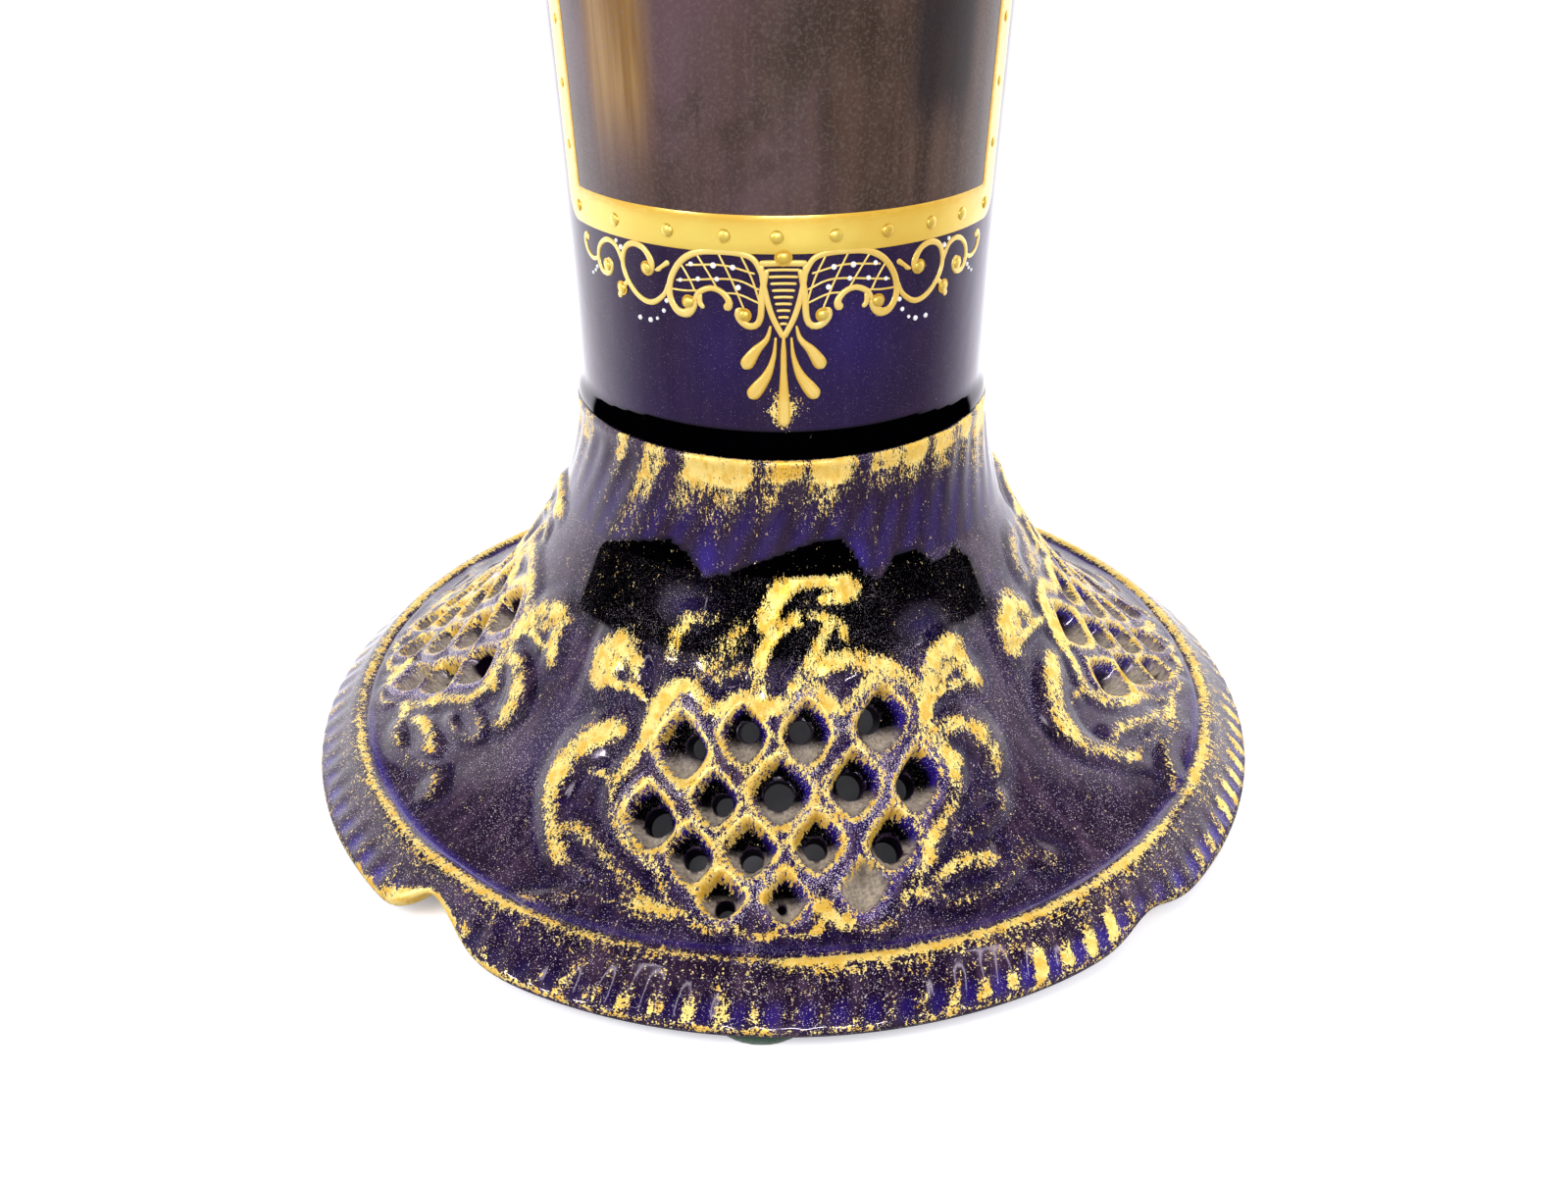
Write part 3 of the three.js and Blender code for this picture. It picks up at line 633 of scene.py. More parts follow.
class Skin:
    """Collects the rings of a porcelain skin with what the glaze needs to know at each point."""

    # Numbers at each point: gilding, ochre, blue pools, dust, painted shade (black where shade or a dark
    # reflection falls), haze and specks with a painted sheen on raised bars, and bare porcelain.
    NUMBERS = {"gilt": 0.0, "deep": 0.0, "pool": 0.0, "dust": 0.0, "night": 0.0, "soil": 1.0, "bare": 0.0}

    def __init__(self):
        self.rings = []
        self.turns = []
        self.climbs = []
        self.numbers = {name: [] for name in self.NUMBERS}

    def add(self, turn, radius, height, climb=0.0, **numbers):
        self.add_points(turn, place(turn, radius, height), climb, **numbers)

    def add_points(self, turn, points, climb, **numbers):
        self.rings.append(points)
        self.turns.append(turn)
        self.climbs.append(np.full(len(turn), climb))
        for name, usual in self.NUMBERS.items():
            self.numbers[name].append(np.broadcast_to(numbers.get(name, usual), len(turn)))

    def glazed(self, name, glaze):
        """The closed mesh of all the rings with its glaze, and its points."""
        points, faces = ring_solid(self.rings, self.turns)
        piece = mesh_object(name, points, faces, sponged_glaze(glaze))
        for number_name, values in self.numbers.items():
            add_number(piece, number_name, np.concatenate(values))
        return piece, points


# Millimetres along the border's section of its ridge, of the flare's start and of the groove that follows
RIDGE_AT = 10.3
FLARE_AT = 12
GROOVE_AT = 12.1


def build_border(skin, foot, turn, random):
    """The rim, its ribs with their dabs of gold, and the gilt ridge."""
    path = border_path(foot)
    steps = np.concatenate([[0], np.cumsum(np.hypot(*np.diff(path, axis=0).T))])
    end = steps[-1] + np.hypot(foot.flare_radius - path[-1][0], foot.flare_height - path[-1][1])
    patches = ripple_ring(turn, random, 9, 2, 31)
    faint = ripple_ring(turn, random, 12, 9, 70)
    on_ribs = round_table(turn, RIB_GILT)
    on_ridge = round_table(turn, RIDGE_GILT)
    rib_blue = round_table(turn, RIB_BLUE)
    groove_blue = round_table(turn, GROOVE_BLUE)
    near = notch_nearness(turn, 8)
    beside = notch_nearness(turn, 24)
    open_rib = 1 - notch_nearness(turn, 6)
    notches = notch(turn)
    for (radius, height), step in zip(path, steps):
        along = FLARE_AT - (end - step) / MM
        low = np.clip(1 - (height - foot.base) / (foot.ridge_height - foot.base), 0, 1)
        window = smoothstep(1.0, 3.0, along) * (1 - smoothstep(4.2, 8.6, along)) * open_rib
        lean = foot.flutes * math.radians(0.15) * along
        crest, share = dabs_at(turn, foot.flutes, lean, np.random.default_rng(RIB_SEED))
        pull = foot.notch_depth * low * notches + 0.34 * MM * window * (1 - crest)
        rise = foot.notch_rise * low * notches
        reach = 6.0 + 1.6 * share
        tips = smoothstep(1.4, 2.8, along) * (1 - smoothstep(reach - 3.2, reach + 0.8, along))
        dab = smoothstep(0.12, 0.95, crest) * tips * open_rib * on_ribs * (0.68 + 0.36 * share)
        veil = 0.36 * (0.4 + 0.6 * faint) * (0.45 + 0.55 * on_ribs)
        veil = veil * smoothstep(5.2, 7.0, along) * (1 - smoothstep(8.2, 9.4, along))
        on_crest = bell(along, RIDGE_AT, 0.9) * on_ridge
        rim = bell(along, 1.5, 0.55) * np.maximum(0.32 + 0.25 * faint, 0.85 * beside)
        roll = near * (1 - smoothstep(2.8, 4.6, along)) * 0.95
        frayed = 0.42 * bell(along, 9.2, 1.5) * on_ridge
        gilt = np.maximum.reduce([dab, veil, on_crest * (0.88 + 0.2 * patches), frayed, rim, roll])
        between = window * (1 - crest) ** 1.5 * (1 - smoothstep(3.4, 5.6, along))
        in_groove = bell(along, GROOVE_AT, 0.4) * groove_blue
        pool = np.maximum(between * rib_blue * (0.6 + 0.4 * faint), in_groove)
        # Painted shade: dark between the ribs where they are fluted, and a faint dark band below the ridge.
        dark = 0.6 * window * (1 - crest) * (1 - 0.9 * rib_blue)
        night = np.clip(dark + 0.5 * bell(along, 8.6, 0.9) * faint, 0, 0.7)
        climb = min(step - end, -0.01 * MM)
        deep = 0.85 * on_crest * patches
        skin.add(turn, radius - pull, height + rise, climb, gilt=gilt, pool=pool, deep=deep, night=night)


# Gilding of the collar: azimuth and half width in degrees, length in millimetres, strength, share of ochre
COLLAR_GILT = (
    (-74, 4, 5, 0.6, 0.2), (-64, 4, 5.5, 0.62, 0.1), (-46, 2.6, 4.5, 0.62, 0.1),
    (-34.5, 3.6, 10.5, 0.68, 0.1), (-20, 6.4, 3.8, 1.0, 0.2), (-11, 5, 4.2, 1.0, 0.5),
    (0.5, 6, 2.4, 0.98, 0.95), (13, 6.0, 3.2, 1.0, 0.5), (28, 5.4, 1.7, 0.98, 0.5),
    (37, 4.6, 1.9, 0.98, 0.55), (48, 5, 1.9, 0.95, 0.5), (58, 5, 1.9, 0.9, 0.4), (71, 7, 4.2, 0.9, 0.3),
    (86, 6, 3.4, 0.9, 0.4), (98, 4, 7, 0.7, 0.2), (112, 6, 3.2, 1.0, 0.6), (131, 6, 3.6, 0.9, 0.7),
    (148, 4, 8, 0.65, 0.1), (163, 6, 3.2, 1.0, 0.6), (181, 5, 3.4, 0.9, 0.6), (197, 4, 7, 0.66, 0.2),
    (214, 6, 3.2, 1.0, 0.6), (233, 6, 3.0, 0.9, 0.5), (250, 4, 8, 0.66, 0.1), (267, 6, 3.6, 0.95, 0.4),
)


# Upper edge of the painted dark reflection on the front and back of the flare: degrees from their middle, and
# climb in mm
BLACK_EDGE = (
    (-52, 48), (-48.5, 51.2), (-40, 53), (-34, 54), (-28, 55), (-22.5, 53.5), (-18.5, 50.8), (-13, 51.5),
    (-8, 53), (-3.5, 54), (6, 56), (14.5, 56.5), (17.5, 54.2), (19.5, 51), (23, 49.8), (28, 52.8),
    (33.5, 52.8), (38.5, 50), (41, 50), (46.5, 50.8), (52, 47),
)


def flare_shades(azimuth, climb):
    """Painted dark reflection on the upper flare, and its blue: blue glaze and a painted blue sheen, at a
    climb in millimetres.
    """
    turned = degrees_from_middle(azimuth)
    edge = np.interp(turned, *zip(*BLACK_EDGE))
    blue = bell(np.abs(turned), 18, 2.8) * bell(climb, 53, 3.2)
    # Painted sheen: two blue patches that lift the painted black.
    glow = bell(turned, -22, 6) * bell(climb, 46, 2.6) + bell(turned, 31, 6) * bell(climb, 42, 2.6)
    # Painted dark reflection: black below the listed edge, on the front and back only.
    black = (1 - smoothstep(edge - 0.3, edge + 0.3, climb)) * smoothstep(35, 41, climb)
    black = black * (1 - smoothstep(49, 53 + 0.3 * (51 - climb), np.abs(turned)))
    return black * (1 - 0.3 * glow), np.clip(0.6 * blue + 0.45 * glow, 0, 1)


def collar_gilding(azimuth, below):
    """Gilding and its share of ochre on the collar, at a distance in millimetres below its lip."""
    gilt = np.zeros(azimuth.shape)
    deep = np.zeros(azimuth.shape)
    for at, half, reach, strength, ochre in COLLAR_GILT:
        gap = degrees_from(azimuth, at - 0.75 * below) / half
        core = np.exp(-(gap**4))
        dense = core * (1 - smoothstep(0.35 * reach, 1.1 * reach, below))
        feather = bell(gap, 0, 1.15) * (1 - smoothstep(reach, 2.4 * reach + 2, below))
        gilt = np.maximum.reduce([gilt, strength * dense, 0.5 * strength * feather])
        deep = np.maximum(deep, ochre * core * (1 - smoothstep(0.5, 0.45 * reach + 0.6, below)))
    return gilt, deep


# Rows of points up the flare below the collar: climb in millimetres where they start and end, and their count
FLARE_ROWS = ((0, 2, 4), (2, 40, 59), (40, COLLAR_START, 17))


def build_flare(skin, surface, foot, turn, collar_turn, random):
    """The flare with its pierced panels, and the fluted collar with its gilt lip."""
    flare = surface.flare
    groove_blue = round_table(turn, GROOVE_BLUE)
    for climb in np.unique([climb for row in FLARE_ROWS for climb in np.linspace(*row)]) * MM:
        lift, numbers = surface.relief(surface.azimuth, np.full(surface.azimuth.shape, climb))
        numbers = {name: np.tile(value, surface.QUARTERS) for name, value in numbers.items()}
        groove = (1 - smoothstep(0.2, 1.0, climb / MM)) * groove_blue
        numbers["pool"] = np.maximum(numbers["pool"], groove)
        below = (flare.length - climb) / MM
        if below < 30:
            # Painted dark reflection: the flare turns black here and its gilding is hidden under it.
            black, blue = flare_shades(turn, climb / MM)
            numbers["gilt"] = np.maximum(numbers["gilt"], collar_gilding(turn, below)[0] * (1 - 0.85 * black))
            numbers["night"] = np.maximum(numbers["night"], black)
            numbers["pool"] = np.maximum(numbers["pool"], blue)
        points = flare.place(turn, climb, np.tile(lift, surface.QUARTERS))
        skin.add_points(turn, points, climb, **numbers)
    for climb in np.linspace(COLLAR_START * MM, flare.length, 25)[1:]:
        below = (flare.length - climb) / MM
        fade = np.clip(1 - below / 14, 0, 1) * smoothstep(-0.5, 3, below)
        lean = -foot.collar_flutes * math.radians(0.75) * below
        crest = 0.5 + 0.5 * np.cos(foot.collar_flutes * collar_turn - lean)
        points = flare.place(collar_turn, climb, 0.12 * MM * fade * (2 * crest - 1))
        # Painted dark reflection on the collar too, hiding its gilding.
        black, blue = flare_shades(collar_turn, climb / MM)
        gilt, deep = collar_gilding(collar_turn, below)
        gilt = gilt * (0.86 + 0.2 * crest) * (1 - 0.85 * black)
        pool = np.maximum(0.22 * (1 - crest) * smoothstep(3, 8, below), blue)
        skin.add_points(collar_turn, points, climb, gilt=gilt, deep=deep, pool=pool, night=black, soil=0.3)
    lip, bore, collar = foot.lip_radius, foot.bore_radius, foot.collar_height
    top = collar + foot.lip_thickness
    places = (
        (lip, 0, collar, 0.6), (lip, -0.05, collar, 1.1), (lip, -0.25, top, -0.12), (lip, -0.7, top, 0),
        (bore, 0.3, top, 0), (bore, 0, top, -0.4),
    )
    gilt, deep = collar_gilding(collar_turn, 0.0)
    frayed = 2.4 * ripple_ring(collar_turn, random, 8, 12, 47)
    for index, (radius, height) in enumerate(smooth_path(stepped(places), 2)):
        edge = gilt * (1 - smoothstep(2.6 + frayed, 4.2 + frayed, index))
        climb = flare.length + 0.25 * MM * (index + 1)
        # Painted shade: the lip turns black from its outer corner across its top and into the bore.
        skin.add(collar_turn, radius, height, climb, gilt=edge, deep=deep, night=smoothstep(3, 6, index))


def build_foot(foot, panel):
    """The skin of the finely modelled foot, and the surface that its holes follow."""
    surface = PanelSurface(foot, panel)
    flare = surface.flare
    random = np.random.default_rng(FOOT_SEED)
    skin = Skin()
    flare_turn = np.concatenate([surface.azimuth + side * math.pi / 2 for side in range(surface.QUARTERS)])
    inner_turn = full_turn(180)
    hole_turn = full_turn(48)
    build_border(skin, foot, full_turn(8 * foot.flutes), random)
    build_flare(skin, surface, foot, flare_turn, full_turn(8 * foot.collar_flutes), random)
    deck_under = foot.deck_top - foot.deck_thickness
    skin.add(inner_turn, foot.bore_radius, foot.deck_top)
    skin.add(hole_turn, foot.bolt_hole, foot.deck_top, bare=1.0)
    skin.add(hole_turn, foot.bolt_hole, deck_under, bare=1.0)
    deck_climb = float(np.interp(deck_under, flare.height, flare.climb))
    for climb in np.linspace(deck_climb, 0, 26)[:-1]:
        radius, height, outward, upward = flare.at(climb)
        height = min(height - upward * foot.wall, deck_under)
        skin.add(inner_turn, radius - outward * foot.wall, height, bare=1.0)
    skin.add(inner_turn, foot.ring_radius, foot.base, bare=1.0)
    return skin, surface


# How far the hole cutters stand out of the wall, and how deep they reach into it
CUTTER_RISE = 0.2 * MM
CUTTER_DEPTH = 9.5 * MM


def hole_cutters(surface):
    """One mesh of round cutters, a hole for each pierced cell of the four panels."""
    points, faces = [], []
    sides = 28
    turn = circle(sides)[:, None]
    flare = surface.flare
    for quarter in range(surface.QUARTERS):
        for *_, across, up, radius in CELLS:
            if radius == 0:
                continue
            azimuth = across * MM / float(flare.at(up * MM)[0]) + quarter * math.pi / 2
            seat = flare.place(azimuth, up * MM, 0.0)
            normal = flare.place(azimuth, up * MM, 1.0) - seat
            normal = normal / np.linalg.norm(normal)
            right = np.array([math.cos(azimuth), math.sin(azimuth), 0.0])
            disc = radius * MM * (np.cos(turn) * right + np.sin(turn) * np.cross(normal, right))
            top = len(points) * sides + np.arange(sides)
            bottom = top + sides
            points.append(seat + normal * CUTTER_RISE + disc)
            points.append(seat - normal * CUTTER_DEPTH + disc)
            sleeve = np.stack([bottom, np.roll(bottom, -1), np.roll(top, -1), top], axis=1)
            faces.extend([top.tolist(), bottom[::-1].tolist(), *sleeve.tolist()])
    return np.vstack(points), faces


def cut(piece, cutter):
    """Cuts one closed mesh out of another and applies it."""
    modifier = piece.modifiers.new("holes", "BOOLEAN")
    modifier.operation = "DIFFERENCE"
    modifier.solver = "MANIFOLD"
    modifier.object = cutter
    bpy.context.view_layer.update()
    evaluated = piece.evaluated_get(bpy.context.evaluated_depsgraph_get())
    old = piece.data
    name = old.name
    piece.data = bpy.data.meshes.new_from_object(evaluated)
    piece.modifiers.clear()
    bpy.data.meshes.remove(old)
    bpy.data.objects.remove(cutter)
    piece.data.name = name


class Nodes:
    """A short way to write the nodes of a material, or of a world that is given."""

    def __init__(self, name, world=None):
        self.owner = world or bpy.data.materials.new(name)
        self.owner.use_nodes = True
        self.tree = self.owner.node_tree
        self.shader = self.tree.nodes["Background" if world else "Principled BSDF"]

    def give(self, socket, value):
        """Links a socket to another node's output, or sets its number, vector or colour."""
        if isinstance(value, bpy.types.NodeSocket):
            self.tree.links.new(value, socket)
        elif socket.type == "RGBA":
            socket.default_value = (*value[:3], 1.0)
        else:
            socket.default_value = value

    def feed(self, name, value):
        """Gives a value to one of the shader's own sockets."""
        self.give(self.shader.inputs[name], value)

    def add(self, kind, output=0, **values):
        """Adds a node with its settings and inputs, and returns one of its outputs."""
        node = self.tree.nodes.new(kind)
        for key, value in values.items():
            if hasattr(node, key):
                setattr(node, key, value)
            else:
                self.give(node.inputs[key.replace("_", " ")], value)
        return node.outputs[output]

    def attribute(self, name, output="Fac"):
        return self.add("ShaderNodeAttribute", output, attribute_name=name)

    def object_place(self):
        return self.add("ShaderNodeTexCoord", "Object")

    def ray(self, kind):
        return self.add("ShaderNodeLightPath", kind)

    def maths(self, operation, first, second, clamp=False):
        result = self.add("ShaderNodeMath", operation=operation, use_clamp=clamp)
        self.give(result.node.inputs[0], first)
        self.give(result.node.inputs[1], second)
        return result

    def times(self, first, second, clamp=False):
        return self.maths("MULTIPLY", first, second, clamp)

    def plus(self, first, second):
        return self.maths("ADD", first, second)

    def minus(self, first, second):
        return self.maths("SUBTRACT", first, second)

    def larger(self, first, second):
        return self.maths("MAXIMUM", first, second)

    def ramp(self, value, low, high, to_low=0.0, to_high=1.0):
        """A smooth passage from one number to another as a value goes from low to high."""
        return self.add("ShaderNodeMapRange", interpolation_type="SMOOTHSTEP", Value=value, From_Min=low,
                        From_Max=high, To_Min=to_low, To_Max=to_high)

    def mix(self, factor, first, second, kind="RGBA"):
        """Mixes two colours, or two numbers when the kind is FLOAT."""
        start, output = (6, 2) if kind == "RGBA" else (2, 0)
        result = self.add("ShaderNodeMix", output, data_type=kind)
        for index, value in ((0, factor), (start, first), (start + 1, second)):
            self.give(result.node.inputs[index], value)
        return result

    def noise(self, vector, scale, detail=2.0, roughness=0.5):
        return self.add("ShaderNodeTexNoise", Vector=vector, Scale=scale, Detail=detail, Roughness=roughness)

    def stretch(self, vector, scale):
        return self.add("ShaderNodeMapping", Vector=vector, Scale=scale)

    def bump(self, height, strength, distance, **below):
        return self.add("ShaderNodeBump", Height=height, Strength=strength, Distance=distance, **below)


def sponged_glaze(glaze):
    """Cobalt glaze with sponged gilding where the gilt attribute says, dust in the pits, and painted shade
    and sheen.
    """
    n = Nodes("cobalt glaze with sponged gilding")
    where = n.attribute("flow", "Vector")
    soil = n.attribute("soil")
    night = n.attribute("night")
    bare = n.attribute("bare")
    grain = n.noise(where, 4600, 2.0, 0.6)
    feather = n.noise(n.stretch(where, (1.0, 1.0, 0.55)), 2300, 2.0, 0.6)
    clumps = n.noise(where, 520)
    wobble = n.plus(n.times(n.minus(feather, 0.5), 1.5), n.times(n.minus(grain, 0.5), 1.7))
    wobble = n.plus(wobble, n.times(n.minus(clumps, 0.5), 0.8))
    patchy = n.times(n.attribute("gilt"), n.ramp(n.noise(where, 70), 0.3, 0.62, 0.8, 1.1))
    cover = n.ramp(n.plus(patchy, wobble), 0.5, 0.58)
    ochre = n.times(n.attribute("deep"), n.ramp(clumps, 0.3, 0.6, 0.6, 1.3), clamp=True)
    ochre = n.larger(n.ramp(clumps, 0.44, 0.66, 0.0, 0.85), ochre)
    gold = n.mix(ochre, glaze.gold_bright, glaze.gold_deep)
    gold = n.mix(n.ramp(grain, 0.56, 0.7, 0.0, 0.75), gold, glaze.gold_flash)
    # Mauve haze and pale specks: the glaze's own, and more on the lattice's bars as a painted sheen.
    veil = n.noise(n.stretch(where, (1.0, 1.0, 0.3)), 420, 4.0, 0.7)
    thin = n.times(n.ramp(veil, 0.42, 0.7, 0.0, 0.8), soil, clamp=True)
    cobalt = n.mix(thin, glaze.cobalt_deep, glaze.haze)
    cloud = n.ramp(n.noise(where, 42, 3.0, 0.55), 0.52, 0.75, 0.0, 0.12)
    cobalt = n.mix(n.larger(cloud, n.attribute("pool")), cobalt, glaze.cobalt_pool)
    # Painted shade: the glaze turns near black where shade or a dark reflection is painted, with fewer
    # specks.
    cobalt = n.mix(night, cobalt, (0.0004, 0.0003, 0.0006))
    drift = n.ramp(n.noise(where, 90, 2.0, 0.6), 0.35, 0.65, 0.2, 1.0)
    spray = n.times(n.times(drift, soil), 0.05)
    specks = n.ramp(n.plus(n.noise(where, 6800, 1.0, 0.5), spray), 0.69, 0.75)
    specks = n.times(specks, n.minus(soil, n.times(night, 0.84)), clamp=True)
    cobalt = n.mix(specks, cobalt, glaze.mist)
    grit = n.noise(where, 2600, 2.0, 0.6)
    dusty = n.times(n.attribute("dust"), n.ramp(grit, 0.3, 0.7, 0.45, 1.0), clamp=True)
    ground = n.mix(bare, n.mix(dusty, cobalt, glaze.dust), glaze.bisque)
    n.feed("Base Color", n.mix(cover, ground, gold))
    n.feed("Metallic", n.times(cover, 0.28))
    matt = n.ramp(n.larger(dusty, bare), 0.0, 1.0, 0.09, 0.8)
    n.feed("Roughness", n.mix(cover, matt, 0.38, "FLOAT"))
    # The painted shade also takes the reflection off.
    n.feed("Specular IOR Level", n.ramp(night, 0.86, 0.96, 0.5, 0.0))
    ripple = n.bump(n.noise(where, 150), 0.2, 0.4 * MM)
    n.feed("Normal", n.bump(cover, 0.4, 0.05 * MM, Normal=ripple))
    n.feed("IOR", 1.48)
    n.feed("Specular Tint", (0.96, 0.82, 1.0))
    return n.owner


def brushed_gilding(name, bright, deep, metallic=0.3):
    """Burnished gold laid by brush: bright, with deeper tones where it lies thick."""
    n = Nodes(name)
    where = n.object_place()
    broad = n.noise(where, 60, 3.0, 0.6)
    streak = n.noise(n.stretch(where, (1.0, 1.0, 5.0)), 700, 2.0, 0.6)
    tone = n.mix(n.ramp(broad, 0.4, 0.75, 0.0, 0.8), bright, deep)
    worn = n.times(n.attribute("deep"), n.ramp(streak, 0.3, 0.6, 0.55, 1.25), clamp=True)
    worn = n.larger(worn, n.ramp(streak, 0.55, 0.8, 0.0, 0.2))
    n.feed("Base Color", n.mix(worn, tone, deep))
    n.feed("Roughness", n.ramp(streak, 0.3, 0.8, 0.32, 0.46))
    n.feed("Normal", n.bump(streak, 0.2, 0.04 * MM))
    n.feed("Metallic", metallic)
    n.feed("Coat Weight", 0.8)
    n.feed("Coat Roughness", 0.2)
    return n.owner


def white_enamel():
    """White enamel with faint clouds."""
    n = Nodes("raised white enamel")
    cloud = n.noise(n.object_place(), 900)
    n.feed("Base Color", n.mix(cloud, (0.8, 0.79, 0.84), (0.93, 0.93, 0.93)))
    n.feed("Roughness", 0.2)
    return n.owner


def painted_ground():
    """Dark umber ground of the framed panel, brushed up and down, warmer to the upper left."""
    n = Nodes("painted umber ground")
    where = n.object_place()
    brush = n.noise(n.stretch(where, (1.0, 1.0, 0.06)), 330, 3.0, 0.6)
    cloud = n.noise(n.stretch(where, (1.0, 1.0, 0.5)), 34, 3.0, 0.55)
    warm = n.attribute("warm")
    dark = n.attribute("dark")
    base = n.mix(n.ramp(brush, 0.25, 0.75), (0.034, 0.016, 0.01), (0.09, 0.049, 0.036))
    base = n.mix(n.ramp(cloud, 0.42, 0.64, 0.0, 0.85), base, (0.105, 0.057, 0.071))
    patches = n.noise(where, 60, 4.0, 0.65)
    base = n.mix(n.ramp(patches, 0.5, 0.72, 0.0, 0.7), base, (0.03, 0.015, 0.008))
    ochre = n.mix(n.ramp(brush, 0.35, 0.7), (0.19, 0.08, 0.004), (0.34, 0.2, 0.07))
    hot = n.times(warm, n.ramp(cloud, 0.3, 0.65, 0.5, 1.1), clamp=True)
    tone = n.mix(hot, base, ochre)
    tone = n.mix(n.ramp(n.noise(where, 2400, 2.0, 0.7), 0.45, 0.7, 0.0, 0.3), tone, (0.17, 0.13, 0.12))
    n.feed("Base Color", n.mix(dark, tone, (0.012, 0.008, 0.012)))
    n.feed("Roughness", n.ramp(brush, 0.2, 0.8, 0.08, 0.16))
    n.feed("Normal", n.bump(brush, 0.12, 0.05 * MM))
    return n.owner


def pressed_felt():
    """Green felt with a short nap."""
    n = Nodes("pressed green felt")
    where = n.object_place()
    fibre = n.noise(where, 4200, 4.0, 0.75)
    nap = n.noise(where, 700, 2.0, 0.5)
    tone = n.mix(n.ramp(fibre, 0.35, 0.65), (0.012, 0.045, 0.024), (0.055, 0.125, 0.075))
    n.feed("Base Color", n.mix(n.ramp(nap, 0.4, 0.7, 0.0, 0.5), tone, (0.03, 0.08, 0.05)))
    n.feed("Normal", n.bump(fibre, 0.8, 0.15 * MM))
    n.feed("Roughness", 0.95)
    n.feed("Sheen Weight", 0.4)
    return n.owner


def fixing_metal(name, light, dark, roughness):
    """Metal with worn, darker patches."""
    n = Nodes(name)
    where = n.object_place()
    wear = n.noise(where, 800, 4.0, 0.65)
    n.feed("Base Color", n.mix(n.ramp(wear, 0.35, 0.7), light, dark))
    n.feed("Roughness", n.ramp(wear, 0.3, 0.7, roughness, roughness + 0.2))
    n.feed("Normal", n.bump(wear, 0.3, 0.05 * MM))
    n.feed("Metallic", 1.0)
    return n.owner


def seal_rubber():
    """Dark rubber with a fine grain."""
    n = Nodes("soft seal")
    grain = n.noise(n.object_place(), 1500, 3.0, 0.6)
    tone = n.mix(n.ramp(grain, 0.3, 0.7), (0.02, 0.02, 0.02), (0.05, 0.048, 0.045))
    n.feed("Base Color", tone)
    n.feed("Normal", n.bump(grain, 0.4, 0.1 * MM))
    n.feed("Roughness", 0.75)
    return n.owner


# The glaze's pattern runs round the foot at one radius, and lies lower inside it by the drop
FLOW_RADIUS = 55 * MM
FLOW_DROP = 12 * MM


class VASE_OT_foot(bpy.types.Operator):
    """Model the flared foot with its pierced lattices, scrolls, fluted border and sponged gilding"""

    bl_idname = "vase.foot"
    bl_label = "Pierced foot"

    def execute(self, context):
        scene = context.scene
        skin, surface = build_foot(scene.vase_foot, scene.vase_panel)
        piece, points = skin.glazed("pierced_foot", scene.vase_glaze)
        climb = np.concatenate(skin.climbs)
        flow = points.copy()
        reach = np.hypot(points[:, 0], points[:, 1])
        flow[:, :2] *= (FLOW_RADIUS / np.maximum(reach, 1e-6))[:, None]
        flow[:, 2] = np.where(climb != 0, climb, points[:, 2] - FLOW_DROP)
        add_vector(piece, "flow", flow)
        cut(piece, mesh_object("hole_cutter", *hole_cutters(surface)))
        piece.data.set_sharp_from_angle(angle=math.radians(50))
        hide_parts("foot")
        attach(piece, "root")
        return {"FINISHED"}


# Height above the waist from which the inner wall follows the outer one
HOLLOW_START = 30 * MM


